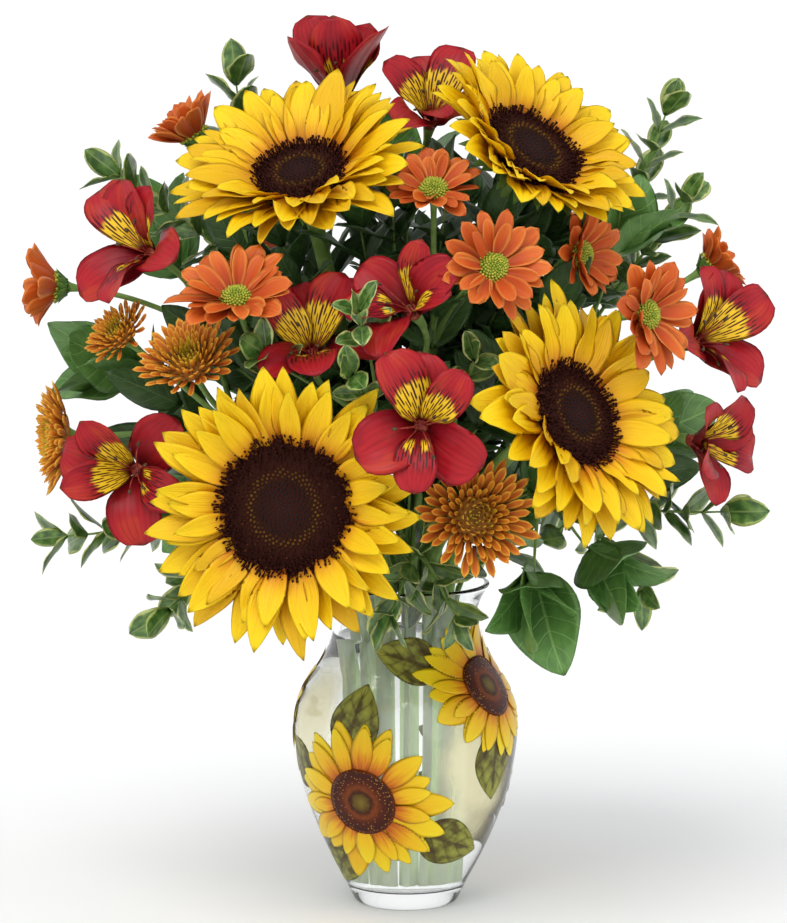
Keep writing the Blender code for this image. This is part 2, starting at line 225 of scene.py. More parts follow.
def petal_places(graph):
    """Along and across the petal, 0 to 1, and the petal's own random tone."""
    places = graph.node("ShaderNodeUVMap", {"uv_map": "petal"}).outputs[0]
    split = graph.node("ShaderNodeSeparateXYZ", {}, {0: places})
    return Num(graph, split.outputs[0]), Num(graph, split.outputs[1]), graph.attribute("tone")


def object_place(graph):
    return graph.node("ShaderNodeTexCoord").outputs["Object"]


def height_of(graph, place):
    return graph.number("ShaderNodeSeparateXYZ", {}, {0: place}, output=2)


# ---------------------------------------------------------------- meshes


def mesh_from(name, points, faces, uv=None):
    """A mesh from points in millimetres; uv is one pair for each point."""
    mesh = bpy.data.meshes.new(name)
    mesh.from_pydata((np.asarray(points) * MM).tolist(), [], faces)
    if uv is not None:
        layer = mesh.uv_layers.new(name="petal")
        corners = np.zeros(len(mesh.loops), np.int32)
        mesh.loops.foreach_get("vertex_index", corners)
        layer.data.foreach_set("uv", np.asarray(uv, np.float32)[corners].ravel())
    mesh.shade_smooth()
    return mesh


SIDE_TAPER, END_TAPER = 3, 8  # how soon a sheet reaches its full thickness from its edges
TINY = 1e-6


def sheet_mesh(name, place, along, across, thick):
    """A thin closed sheet about place(u, v), which tapers to an edge all round."""
    u, v = np.meshgrid(np.linspace(0, 1, along + 1), np.linspace(-1, 1, across + 1), indexing="ij")
    middle = place(u, v)
    normal = np.cross(np.gradient(middle, axis=0), np.gradient(middle, axis=1))
    normal /= np.maximum(np.linalg.norm(normal, axis=2, keepdims=True), TINY)
    edge = np.minimum((1 - v * v) * SIDE_TAPER, 1) * np.minimum(np.minimum(u, 1 - u) * END_TAPER, 1)
    shift = normal * (edge * thick / 2)[..., None]
    count = (along + 1) * (across + 1)
    top = np.arange(count).reshape(along + 1, across + 1)
    under = top.copy()
    inside = np.zeros(top.shape, bool)
    inside[1:-1, 1:-1] = True
    under[inside] = count + np.arange(inside.sum())
    points = np.concatenate([(middle + shift).reshape(-1, 3), (middle - shift)[inside]])
    flat = np.stack([u, (v + 1) / 2], axis=2)
    uv = np.concatenate([flat.reshape(-1, 2), flat[inside]])

    def quads(index, turned):
        corners = [index[:-1, :-1], index[1:, :-1], index[1:, 1:], index[:-1, 1:]]
        return np.stack(corners[::-1] if turned else corners, axis=2).reshape(-1, 4)

    faces = np.concatenate([quads(top, False), quads(under, True)]).tolist()
    return mesh_from(name, points, faces, uv)


TIP_WIDTH = 0.03  # share of a petal's width that its very tip keeps
WAVES = 11  # radians of edge wave along a petal

# peak: where it is widest; blunt: below 1 rounds the tip; base: width at the base;
# rise, curl, late: the angle of its line at the base, and how it turns on its way;
# cup lifts the edges, fold creases the middle, grooves run along it, ripple waves the edge
Petal = namedtuple(
    "Petal", "length width peak blunt base rise curl late cup fold groove grooves ripple twist thick",
    defaults=(0, 0, 0, 0, 3, 0, 0, 0.35),
)


def petal_mesh(name, petal, along, across):
    power = math.log(0.5) / math.log(petal.peak)

    def place(u, v):
        turn = petal.rise + petal.curl * u + petal.late * u ** 3
        step = petal.length / along
        base = np.zeros((1, across + 1))
        x = np.concatenate([base, np.cumsum(np.cos(turn)[:-1] * step, axis=0)])
        z = np.concatenate([base, np.cumsum(np.sin(turn)[:-1] * step, axis=0)])
        belly = np.sin(np.pi * u ** power).clip(0) ** petal.blunt
        half = petal.width / 2 * np.maximum(np.maximum(belly, petal.base * (1 - u)), TIP_WIDTH)
        off = petal.cup * half * v ** 2 + petal.fold * half * np.abs(v)
        off = off - petal.groove * np.cos(petal.grooves * np.pi * v) * np.sin(np.pi * u) * (1 - v ** 2)
        wave = np.sin(u * WAVES + petal.twist * 9) * np.sin(np.pi * u)
        off = off + petal.ripple * v ** 3 * wave
        y = half * v
        angle = petal.twist * u
        y, off = y * np.cos(angle) - off * np.sin(angle), y * np.sin(angle) + off * np.cos(angle)
        return np.stack([x - np.sin(turn) * off, y, z + np.cos(turn) * off], axis=2)

    return sheet_mesh(name, place, along, across, petal.thick)


def varied(petal, rng, wild):
    """The same petal grown a little differently; wild scales the differences."""
    return petal._replace(
        length=petal.length * (1 + wild * rng.uniform(-0.07, 0.05)),
        width=petal.width * (1 + wild * rng.uniform(-0.12, 0.10)),
        curl=petal.curl + wild * rng.uniform(-0.14, 0.14),
        late=petal.late + wild * rng.uniform(-0.22, 0.22),
        ripple=petal.ripple * rng.uniform(0.4, 1.6),
        twist=petal.twist + wild * rng.uniform(-0.16, 0.16),
    )


def kept_shapes(name, meshes):
    """A collection of shapes for the geometry nodes to place; it is never in the scene."""
    shapes = bpy.data.collections.new(name)
    for number, mesh in enumerate(meshes):
        shapes.objects.link(bpy.data.objects.new(f"{name}_{number:02d}", mesh))
    return shapes


def petals_like(name, petal, kinds, along, across, seed, wild=1.0):
    """A few petals of one kind, each a little different, of along by across steps."""
    rng = np.random.default_rng(seed)
    grown_so = [varied(petal, rng, wild) for _ in range(kinds)]
    return kept_shapes(name, [petal_mesh(name, one, along, across) for one in grown_so])


def lathe(name, profile, steps):
    """A turned mesh from (radius, height) points in millimetres, outside first, upwards."""
    turn = np.arange(steps) * math.tau / steps
    points, faces, starts = [], [], []
    for r, z in profile:
        starts.append(len(points))
        if r < TINY:
            points.append((0, 0, z))
        else:
            points += np.stack([r * np.cos(turn), r * np.sin(turn), np.full(steps, z)], axis=1).tolist()
    for i in range(len(profile) - 1):
        a, b = starts[i], starts[i + 1]
        for k in range(steps):
            n = (k + 1) % steps
            if profile[i][0] < TINY:
                faces.append((a, b + n, b + k))
            elif profile[i + 1][0] < TINY:
                faces.append((a + k, a + n, b))
            else:
                faces.append((a + k, a + n, b + n, b + k))
    return mesh_from(name, points, faces)


def joined_mesh(name, meshes):
    """One mesh from several, with their materials."""
    objects = [bpy.data.objects.new(f"{name}_{i}", mesh) for i, mesh in enumerate(meshes)]
    for obj in objects:
        bpy.context.scene.collection.objects.link(obj)
    with bpy.context.temp_override(active_object=objects[0], selected_editable_objects=objects):
        bpy.ops.object.join()
    mesh = objects[0].data
    bpy.data.objects.remove(objects[0])
    mesh.name = name
    return mesh


def piece(name, mesh, slot, *nodes, move=None):
    """Puts a finished mesh in the scene, in the row's frame, in place of CAD nodes."""
    if move is not None:
        mesh.transform(move)
    obj = bpy.data.objects.new(name, mesh)
    mesh.name = name
    bpy.context.scene.collection.objects.link(obj)
    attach(obj, "root")
    if nodes:
        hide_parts(*nodes)
    return obj


# ---------------------------------------------------------------- geometry nodes


def new_tree(name, sockets):
    """A tree's graph, its input sockets, and its number inputs by name."""
    tree = bpy.data.node_groups.new(name, "GeometryNodeTree")
    tree.interface.new_socket("Geometry", in_out="OUTPUT", socket_type="NodeSocketGeometry")
    for label, kind in sockets:
        tree.interface.new_socket(label, in_out="INPUT", socket_type="NodeSocket" + kind)
    graph = Graph(tree)
    given = graph.node("NodeGroupInput").outputs
    numbers = {label: Num(graph, given[label]) for label, kind in sockets if kind in ("Int", "Float")}
    return graph, given, numbers


def random_float(graph, seed, low, high):
    return graph.number(
        "FunctionNodeRandomValue", {"data_type": "FLOAT"}, {2: low, 3: high, "Seed": seed}, 1
    )


def shapes_in(graph, collection):
    return graph.node(
        "GeometryNodeCollectionInfo", {},
        {"Collection": collection, "Separate Children": True, "Reset Children": True},
    ).outputs[0]


def placed_shapes(graph, points, shapes, rotation, size, seeds, extra=None):
    """One of the shapes, picked at random, on each point, with a random tone of its own."""
    pick_seed, tone_seed = seeds
    pick = graph.node("FunctionNodeRandomValue", {"data_type": "INT"}, {4: 0, 5: 1000, "Seed": pick_seed})
    placed = graph.node("GeometryNodeInstanceOnPoints", {}, {
        "Points": points, "Instance": shapes, "Pick Instance": True, "Instance Index": pick.outputs[2],
        "Rotation": rotation, "Scale": graph.vector(size, size, size), **(extra or {}),
    })
    return store(graph, placed.outputs[0], "tone", random_float(graph, tone_seed, 0.0, 1.0))


def store(graph, geometry, name, value):
    return graph.node(
        "GeometryNodeStoreNamedAttribute",
        {"data_type": "FLOAT", "domain": "INSTANCE"},
        {"Geometry": geometry, "Name": name, "Value": value},
    ).outputs[0]


def realised(graph, geometry):
    return graph.node("GeometryNodeRealizeInstances", {}, {0: geometry}).outputs[0]


def with_material(graph, geometry, material):
    return graph.node("GeometryNodeSetMaterial", {}, {"Geometry": geometry, "Material": material}).outputs[0]


# what each random value adds to its tree's seed, so that no two of them are alike
FLORET_SEEDS = {"pick": 5, "Turn": 11, "Height": 23, "Roll": 31, "Lift": 41, "Size": 53, "tone": 67}
LEAF_SEEDS = {"around": 0, "lean": 3, "pick": 5, "size": 7, "tone": 9}
TWIG_TAPER = 0.6  # share of its thickness that a twig loses by its tip


def floret_tree():
    """Shapes placed by index, by angle and by a share that runs from the inside outwards."""
    names = (
        ("Shapes", "Collection"), ("Finish", "Material"), ("Count", "Int"), ("Seed", "Int"),
        ("First Angle", "Float"), ("Angle Step", "Float"),
        ("Inner Radius", "Float"), ("Outer Radius", "Float"), ("Radius Power", "Float"),
        ("Inner Height", "Float"), ("Outer Height", "Float"),
        ("Inner Lift", "Float"), ("Outer Lift", "Float"),
        ("Inner Size", "Float"), ("Outer Size", "Float"),
        ("Turn Spread", "Float"), ("Lift Spread", "Float"), ("Roll Spread", "Float"),
        ("Size Spread", "Float"), ("Height Spread", "Float"),
    )
    g, given, value = new_tree("Florets", names)
    index = g.number("GeometryNodeInputIndex")
    share = index / (value["Count"] - 1 + 1e-4)

    def between(label, at):
        inner, outer = value["Inner " + label], value["Outer " + label]
        return inner + (outer - inner) * at

    def spread(label):
        seed = value["Seed"] + FLORET_SEEDS[label]
        return random_float(g, seed, -1.0, 1.0) * value[label + " Spread"]

    angle = value["First Angle"] + index * value["Angle Step"] + spread("Turn")
    radius = between("Radius", share ** value["Radius Power"])
    height = between("Height", share) + spread("Height")
    place = g.vector(angle.cos() * radius, angle.sin() * radius, height)
    points = g.node(
        "GeometryNodePoints", {}, {"Count": value["Count"], "Position": place, "Radius": 0.001}
    ).outputs[0]
    placed = placed_shapes(
        g, points, shapes_in(g, given["Shapes"]),
        rotation=g.vector(spread("Roll"), -(between("Lift", share) + spread("Lift")), angle),
        size=between("Size", share) * (1 + spread("Size")),
        seeds=(value["Seed"] + FLORET_SEEDS["pick"], value["Seed"] + FLORET_SEEDS["tone"]),
    )
    done = with_material(g, realised(g, store(g, placed, "share", share)), given["Finish"])
    g.node("NodeGroupOutput", {}, {0: done})
    return g.tree


def twig_tree():
    """Leaf pairs, each turned from the last, along a twig, with one leaf at its tip."""
    names = (
        ("Line", "Geometry"), ("Leaves", "Collection"), ("Leaf Finish", "Material"),
        ("Twig Finish", "Material"), ("Seed", "Int"), ("Bare Share", "Float"), ("Spacing", "Float"),
        ("Pair Turn", "Float"), ("Leaf Angle", "Float"), ("Size", "Float"), ("Size Spread", "Float"),
        ("Thickness", "Float"),
    )
    g, given, value = new_tree("Leafy twig", names)
    line = g.node("GeometryNodeMeshToCurve", {}, {0: given["Line"]}).outputs[0]
    leafy_end = g.node(
        "GeometryNodeTrimCurve", {"mode": "FACTOR"}, {"Curve": line, 2: value["Bare Share"], 3: 1.0}
    ).outputs[0]
    joints = g.node(
        "GeometryNodeResampleCurve", {"mode": "LENGTH"}, {"Curve": leafy_end, "Length": value["Spacing"]}
    ).outputs[0]
    tangent = g.node("GeometryNodeInputTangent").outputs[0]
    normal = g.node("GeometryNodeInputNormal").outputs[0]
    side = g.vector_math("CROSS_PRODUCT", {0: tangent, 1: normal})
    shapes = shapes_in(g, given["Leaves"])
    index = g.number("GeometryNodeInputIndex")

    def scaled(vector, number):
        return g.vector_math("SCALE", {0: vector, "Scale": number})

    def summed(first, second):
        return g.vector_math("ADD", {0: first, 1: second})

    def leaves(seed, way, face, where=None):
        turned = g.node(
            "FunctionNodeAxesToRotation", {"primary_axis": "X", "secondary_axis": "Z"}, {0: way, 1: face}
        ).outputs[0]
        uneven = random_float(g, seed + LEAF_SEEDS["size"], -1.0, 1.0) * value["Size Spread"]
        return placed_shapes(
            g, joints, shapes, turned, value["Size"] * (1 + uneven),
            (seed + LEAF_SEEDS["pick"], seed + LEAF_SEEDS["tone"]), where,
        )

    made = []
    for number, start in enumerate((0.0, math.pi)):  # the two leaves of each pair
        seed = value["Seed"] + number * 100
        uneven = random_float(g, seed + LEAF_SEEDS["around"], -0.45, 0.45)
        around = index * value["Pair Turn"] + (start + 0.4) + uneven
        out = summed(scaled(normal, around.cos()), scaled(side, around.sin()))
        lean = value["Leaf Angle"] + random_float(g, seed + LEAF_SEEDS["lean"], -0.25, 0.25)
        way = summed(scaled(tangent, lean.cos()), scaled(out, lean.sin()))
        face = summed(scaled(tangent, lean.sin()), scaled(out, -lean.cos()))
        made.append(leaves(seed, way, face))
    at_tip = g.node("GeometryNodeCurveEndpointSelection", {}, {0: 0, 1: 1}).outputs[0]
    made.append(leaves(value["Seed"] + 300, tangent, normal, {"Selection": at_tip}))
    bunch = g.node("GeometryNodeJoinGeometry")
    for part in made:
        g.tree.links.new(part, bunch.inputs[0])
    green = with_material(g, realised(g, bunch.outputs[0]), given["Leaf Finish"])
    ring = g.node(
        "GeometryNodeCurvePrimitiveCircle", {"mode": "RADIUS"},
        {"Resolution": 8, "Radius": value["Thickness"]},
    ).outputs[0]
    thinning = 1 - g.number("GeometryNodeSplineParameter") * TWIG_TAPER
    tube = g.node(
        "GeometryNodeCurveToMesh", {},
        {"Curve": line, "Profile Curve": ring, "Scale": thinning, "Fill Caps": True},
    ).outputs[0]
    whole = g.node("GeometryNodeJoinGeometry")
    for part in (with_material(g, tube, given["Twig Finish"]), green):
        g.tree.links.new(part, whole.inputs[0])
    g.node("NodeGroupOutput", {}, {0: whole.outputs[0]})
    return g.tree


def grown(name, tree, values, host=None):
    """The plain mesh that a tree makes with these inputs."""
    obj = bpy.data.objects.new(name, host or bpy.data.meshes.new(name + "_host"))
    bpy.context.scene.collection.objects.link(obj)
    nodes = obj.modifiers.new("grow", "NODES")
    nodes.node_group = tree
    ids = {s.name: s.identifier for s in tree.interface.items_tree if s.in_out == "INPUT"}
    for label, value in values.items():
        nodes[ids[label]] = value
    mesh = evaluated_mesh(obj)
    bpy.data.objects.remove(obj)
    return mesh


def evaluated_mesh(obj):
    graph = bpy.context.evaluated_depsgraph_get()
    return bpy.data.meshes.new_from_object(
        obj.evaluated_get(graph), preserve_all_data_layers=True, depsgraph=graph
    )


trees = {}
FLORETS = {  # the floret tree's inputs where a flower gives none
    "Count": 12, "Seed": 0, "First Angle": 0.0, "Angle Step": GOLDEN_ANGLE,
    "Inner Radius": 0.0, "Outer Radius": 0.0, "Radius Power": 0.5,
    "Inner Height": 0.0, "Outer Height": 0.0, "Inner Lift": 0.0, "Outer Lift": 0.0,
    "Inner Size": 1.0, "Outer Size": 1.0, "Turn Spread": 0.0, "Lift Spread": 0.0,
    "Roll Spread": 0.0, "Size Spread": 0.0, "Height Spread": 0.0,
}


def florets(name, shapes, surface, **given):
    """given: the tree's inputs, in millimetres and radians, with _ for a space."""
    values = dict(FLORETS)
    for key, value in given.items():
        label = key.replace("_", " ").title()
        assert label in values, label
        is_length = label.endswith(("Radius", "Height", "Height Spread"))
        values[label] = value * MM if is_length else value
    values["Shapes"], values["Finish"] = shapes, surface
    return grown(name, trees["florets"], values)


# ---------------------------------------------------------------- what the CAD part says

HEART = np.array((0.0, 0.0, 190.0))  # every flower faces away from here
Head = namedtuple("Head", "centre facing reach")


def head_of(node, half_thick, sink=0.0):
    """Centre, facing and reach of a flower head, measured on its CAD solid."""
    mesh = frame["nodes"][node].data
    points = np.zeros(len(mesh.vertices) * 3, np.float32)
    mesh.vertices.foreach_get("co", points)
    points = points.reshape(-1, 3).astype(float) / MM
    middle = points.mean(axis=0)
    facing = np.linalg.eigh(np.cov((points - middle).T))[1][:, 0]
    facing *= np.sign(facing @ (middle - HEART))
    depth = (points - middle) @ facing
    out = points - middle - np.outer(depth, facing)
    centre = middle + facing * (depth.min() + half_thick + sink)
    return Head(Vector(centre), Vector(facing), float(np.linalg.norm(out, axis=1).max()))


def stand(head, roll=0.0):
    """Places a flower that was made at the origin, looking up, on its head's place."""
    turn = head.facing.to_track_quat("Z", "Y").to_matrix().to_4x4()
    return Matrix.Translation(head.centre * MM) @ turn @ Matrix.Rotation(roll, 4, "Z")


def numbers_of(kind):
    """The numbers that the CAD nodes of one kind of flower carry in their names."""
    found = [name.split("_")[1] for name in frame["nodes"] if name.startswith(kind + "_")]
    return sorted(int(number) for number in found if number.isdigit())


SHARP_EDGE = math.radians(70)  # a stem's cut end turns by more than this


def rounded_copy(node):
    """A CAD solid's mesh, merged and subdivided round, with its cut ends kept flat."""
    bm = bmesh.new()
    bm.from_mesh(frame["nodes"][node].data)
    bmesh.ops.remove_doubles(bm, verts=bm.verts, dist=1e-5)
    bmesh.ops.join_triangles(
        bm, faces=bm.faces, angle_face_threshold=0.5, angle_shape_threshold=1.2, cmp_sharp=False
    )
    crease = bm.edges.layers.float.new("crease_edge")
    for edge in bm.edges:
        if len(edge.link_faces) == 2 and edge.calc_face_angle() > SHARP_EDGE:
            edge[crease] = 1.0
    mesh = bpy.data.meshes.new(node + "_copy")
    bm.to_mesh(mesh)
    bm.free()
    obj = bpy.data.objects.new(node + "_copy", mesh)
    bpy.context.scene.collection.objects.link(obj)
    smooth = obj.modifiers.new("round", "SUBSURF")
    smooth.levels = smooth.render_levels = 2
    made = evaluated_mesh(obj)
    bpy.data.objects.remove(obj)
    made.shade_smooth()
    return made


# ---------------------------------------------------------------- finishes

finishes = {}


def make_finishes(look):
    finishes["sunflower petal"] = sunflower_petal_finish(look.sunflower)
    finishes["sunflower floret"] = sunflower_floret_finish()
    finishes["daisy petal"] = daisy_petal_finish(look.daisy)
    finishes["daisy button"] = button_finish((0.46, 0.50, 0.05), (0.25, 0.34, 0.02))
    finishes["mum petal"] = mum_petal_finish(look.mum)
    finishes["tepal"] = tepal_finish("alstroemeria tepal", look.alstroemeria, 0.0)
    finishes["striped tepal"] = tepal_finish("striped tepal", look.alstroemeria, 1.0)
    finishes["marked tepal"] = tepal_finish("marked tepal", look.alstroemeria, 0.65)
    finishes["stamen"] = plain_plant_finish("stamen", (0.26, 0.02, 0.02), (0.45, 0.09, 0.05), 400)
    finishes["anther"] = plain_plant_finish("anther", (0.045, 0.022, 0.012), (0.12, 0.07, 0.03), 900)
    finishes["stem"] = plain_plant_finish("stem", (0.13, 0.24, 0.045), (0.24, 0.38, 0.10), 90, True)
    finishes["bract"] = plain_plant_finish("bract", (0.07, 0.16, 0.025), (0.14, 0.26, 0.05), 150)
    finishes["edged leaf"] = edged_leaf_finish()
    finishes["broad leaf"] = broad_leaf_finish("broad leaf", (0.065, 0.17, 0.032), (0.14, 0.30, 0.065))
    finishes["dark leaf"] = broad_leaf_finish("dark leaf", (0.025, 0.070, 0.015), (0.060, 0.14, 0.030))


def sunflower_petal_finish(colour):
    surface, g, shader = finish("sunflower petal", Roughness=0.45, Specular_IOR_Level=0.25)
    along, across, tone = petal_places(g)
    grain = g.noise(g.vector(across * 24, along * 1.8, tone * 37), 1.0, 3.0)
    at = along + (grain - 0.5) * 0.4 + (tone - 0.5) * 0.25
    r, gr, b = colour
    body = g.ramp(at, [
        (0.0, (r * 0.60, gr * 0.24, b * 0.5)), (0.16, (r * 0.80, gr * 0.52, b * 0.4)),
        (0.40, (r * 0.94, gr * 0.84, b * 0.5)), (0.75, (r, gr, b)), (1.0, (r, gr * 1.10, b * 2.2)),
    ])
    body = g.mix(tone.above(0.45, 1.0) * 0.65, body, (r * 0.72, gr * 0.52, b * 1.2))
    # painted shade: the petals are darkened towards their base, where they tuck under the disc
    body = g.mix((1 - along.above(0.0, 0.45)) * 0.5, body, (r * 0.60, gr * 0.34, b * 0.8), "MULTIPLY")
    line = grain.above(0.52, 0.68) * (1 - along.above(0.75, 1.0))
    body = g.mix(line * 0.4, body, (r * 0.76, gr * 0.46, b * 0.25))
    feed(g, shader, Base_Color=body, Normal=g.bump(grain, 0.6, 0.0007))
    return surface


def sunflower_floret_finish():
    surface, g, shader = finish("sunflower floret", Roughness=0.8, Specular_IOR_Level=0.1)
    out, tone = g.attribute("share") ** 0.5, g.attribute("tone")
    body = g.ramp(out + (tone - 0.5) * 0.05, [
        (0.0, (0.022, 0.022, 0.028)), (0.34, (0.010, 0.010, 0.012)), (0.42, (0.025, 0.014, 0.004)),
        (0.48, (0.13, 0.065, 0.008)), (0.56, (0.040, 0.011, 0.004)), (0.68, (0.024, 0.004, 0.003)),
        (0.86, (0.028, 0.005, 0.003)), (1.0, (0.050, 0.009, 0.005)),
    ])
    body = g.mix(tone.above(0.88, 0.98) * out.above(0.4, 0.5) * 0.35, body, (0.14, 0.04, 0.008))
    feed(g, shader, Base_Color=body)
    return surface


def daisy_petal_finish(colour):
    surface, g, shader = finish("daisy petal", Roughness=0.45, Specular_IOR_Level=0.25)
    along, across, tone = petal_places(g)
    grain = g.noise(g.vector(across * 14, along * 1.5, tone * 29), 1.0, 2.0)
    r, gr, b = colour
    body = g.ramp(along + (grain - 0.5) * 0.3, [
        (0.0, (r * 0.45, gr * 0.20, b * 0.3)), (0.42, (r * 0.80, gr * 0.55, b * 0.6)),
        (0.75, (r, gr, b)), (1.0, (r * 1.06, gr * 1.3, b * 1.6)),
    ])
    edge = (across * 2 - 1).size().above(0.5, 1.0)
    body = g.mix(edge * 0.8, body, (min(1, r * 1.32), gr * 2.3, b * 3.2))
    body = g.mix(tone.above(0.2, 1.0) * 0.6, body, (r * 0.78, gr * 0.52, b * 0.5))
    line = grain.above(0.5, 0.66) * (1 - along.above(0.8, 1.0))
    body = g.mix(line * 0.55, body, (r * 0.66, gr * 0.34, b * 0.4))
    feed(g, shader, Base_Color=body, Normal=g.bump(grain, 0.4, 0.0004))
    return surface


def button_finish(middle, rim):
    surface, g, shader = finish("daisy button", Roughness=0.6)
    out, tone = g.attribute("share"), g.attribute("tone")
    body = g.ramp(out + (tone - 0.5) * 0.3, [(0.0, rim), (0.35, middle), (0.75, rim), (1.0, middle)])
    body = g.mix(tone.above(0.7, 1.0) * 0.5, body, (0.62, 0.55, 0.06))
    feed(g, shader, Base_Color=body)
    return surface


def mum_petal_finish(colour):
    surface, g, shader = finish("mum petal", Roughness=0.5, Specular_IOR_Level=0.2)
    along, across, tone = petal_places(g)
    out = g.attribute("share")
    grain = g.noise(g.vector(across * 9, along * 1.5, tone * 29), 1.0, 2.0)
    r, gr, b = colour
    body = g.ramp(out + (tone - 0.5) * 0.2, [
        (0.0, (0.30, 0.34, 0.02)), (0.16, (0.52, 0.40, 0.02)), (0.34, (r * 1.1, gr * 1.5, b)),
        (0.6, (r, gr, b)), (1.0, (r * 0.86, gr * 0.75, b)),
    ])
    shine = (across * 2 - 1).size().above(0.40, 0.90) * 0.7 + along.above(0.72, 1.0) * 0.5
    body = g.mix(shine * (0.6 + tone * 0.4), body, (0.92, 0.52, 0.05))
    # darker towards each petal's base: partly the petal's own deeper colour, partly painted shade deep
    # between the petals
    body = g.mix((1 - along.above(0.1, 0.7)) * 0.75, body, (r * 0.42, gr * 0.22, b * 0.5))
    feed(g, shader, Base_Color=body, Normal=g.bump(grain, 0.3, 0.0003))
    return surface


def tepal_finish(name, colour, marks):
    """marks: how strongly the yellow patch and the dark dashes show."""
    surface, g, shader = finish(name, Roughness=0.4, Specular_IOR_Level=0.22)
    along, across, tone = petal_places(g)
    edge = (across * 2 - 1).size()
    grain = g.noise(g.vector(across * 18, along * 1.6, tone * 17), 1.0, 3.0)
    r, gr, b = colour
    # along the tepal: darker at the base, partly its own deeper red and partly painted shade in the throat;
    # lighter before the tip, partly a painted highlight
    body = g.ramp(along + (grain - 0.5) * 0.35, [
        (0.0, (r * 0.30, gr * 1.0, b * 0.4)), (0.25, (r * 0.50, gr * 0.5, b * 0.5)),
        (0.55, (r, gr, b)), (0.88, (r * 1.22, gr * 2.4, b * 1.5)), (1.0, (r * 0.9, gr * 1.4, b * 1.4)),
    ])
    cloud = g.noise(g.vector(across * 2.2, along * 2.0, tone * 23), 1.0, 2.0)
    body = g.mix(cloud.above(0.52, 0.70) * along.above(0.2, 0.5) * 0.5, body, (r * 1.45, gr * 9.0, b * 1.1))
    body = g.mix((1 - cloud.above(0.30, 0.46)) * 0.5, body, (r * 0.62, gr * 0.5, b * 1.2))
    vein = (across * 9 + (grain - 0.5) * 1.2).fraction().above(0.55, 0.95)
    body = g.mix(vein * 0.35, body, (r * 0.45, gr * 0.3, b * 0.4))
    tip = along.above(0.965, 0.99) * (1 - edge.above(0.15, 0.5))
    body = g.mix(tip * 0.8, body, (0.10, 0.13, 0.02))
    if marks:
        reach = 0.18 + marks * 0.40 - edge * edge * 0.10 + (grain - 0.5) * 0.20
        patch = along.above(0.12, 0.24) * (1 - (along - reach).above(0.0, 0.07))
        patch = patch * (1 - edge.above(0.90, 1.0) * 0.6)
        if marks < 1:  # two small marks, one on each side of the rib
            patch = patch * edge.above(0.16, 0.34) * (1 - edge.above(0.70, 0.88)) * along.above(0.24, 0.34)
        body = g.mix(patch * min(1.0, marks * 1.5), body, (0.84, 0.54, 0.02))
        lane = across * 14 + (grain - 0.5) * 0.7
        beat = (along * 3.1 + lane.floor() * 0.37).fraction()
        dash = 1 - (lane.fraction() - 0.5).size().above(0.15, 0.35)
        dash = dash * (1 - (beat - 0.45).size().above(0.30, 0.42))
        where = along.above(0.12, 0.2) * (1 - along.above(0.62, 0.78)) * (1 - edge.above(0.90, 1.0))
        body = g.mix(dash * where * min(1.0, marks * 1.6), body, (0.055, 0.002, 0.005))
    feed(g, shader, Base_Color=body, Normal=g.bump(grain, 0.4, 0.0006))
    return surface


PAINTED_STEM_GLOW = 0.19  # painted glow: light that the stems' ends in the vase give off although they are no lamp, in place of the light that the water and the glass keep from them
WET_BELOW, DRY_ABOVE = 0.09, 0.155  # heights between which a stem's pale, glowing end in the water turns green


def plain_plant_finish(name, dark, light, scale, in_water_and_glowing=False):
    surface, g, shader = finish(name, Roughness=0.5, Specular_IOR_Level=0.3)
    grain = g.noise(object_place(g), scale, 4.0, 0.6)
    body = g.mix(grain.above(0.35, 0.65), dark, light)
    if in_water_and_glowing:  # the cut ends have stood in water and are paler; they are made paler still, and given a painted glow, in place of the light that the water and the glass keep from them
        wet_and_glowing = 1 - height_of(g, object_place(g)).above(WET_BELOW, DRY_ABOVE)
        body = g.mix(wet_and_glowing * 0.85, body, g.mix(grain, (0.78, 0.88, 0.58), (0.93, 0.97, 0.80)))
        # painted glow of the stems' ends in the water
        feed(g, shader, Emission_Color=g.mix(wet_and_glowing, (0.0, 0.0, 0.0), (0.80, 0.92, 0.70)))
        shader.inputs["Emission Strength"].default_value = PAINTED_STEM_GLOW
    feed(g, shader, Base_Color=body, Normal=g.bump(grain, 0.3, 0.0004))
    return surface


def edged_leaf_finish():
    surface, g, shader = finish("edged leaf", Roughness=0.34, Coat_Weight=0.15, Coat_Roughness=0.2)
    along, across, tone = petal_places(g)
    side = (across * 2 - 1).size()
    patch = g.noise(g.vector(across * 3, along * 4, tone * 41), 1.0, 2.0)
    body = g.ramp(patch, [
        (0.35, (0.030, 0.085, 0.014)), (0.5, (0.070, 0.155, 0.026)), (0.65, (0.14, 0.25, 0.055)),
    ])
    rib = 1 - side.above(0.03, 0.10)
    body = g.mix(rib * 0.7, body, (0.22, 0.30, 0.09))
    rim = (side + (patch - 0.5) * 0.5 + along.above(0.8, 1.0) * 0.15).above(0.72, 0.88)
    body = g.mix(rim, body, g.mix(tone, (0.36, 0.46, 0.10), (0.60, 0.64, 0.24)))
    feed(g, shader, Base_Color=body, Normal=g.bump(rib + patch, 0.3, 0.0005))
    return surface


def broad_leaf_finish(name, dark, light):
    surface, g, shader = finish(name, Roughness=0.42)
    along, across, tone = petal_places(g)
    side = (across * 2 - 1).size()
    patch = g.noise(g.vector(across * 5, along * 6, tone * 41), 1.0, 3.0)
    body = g.mix(patch.above(0.3, 0.7) * 0.6 + tone * 0.3, dark, light)
    rib = 1 - side.above(0.02, 0.06)
    vein = ((along * 7 - side * 1.5 + 4).fraction() - 0.5).size().above(0.42, 0.49)
    lines = rib + vein * 0.6
    body = g.mix(lines * 0.55, body, (light[0] * 2.2, light[1] * 1.8, light[2] * 2.4))
    feed(g, shader, Base_Color=body, Normal=g.bump(patch * 0.4 - lines, 0.5, 0.0007))
    return surface


# ---------------------------------------------------------------- flowers

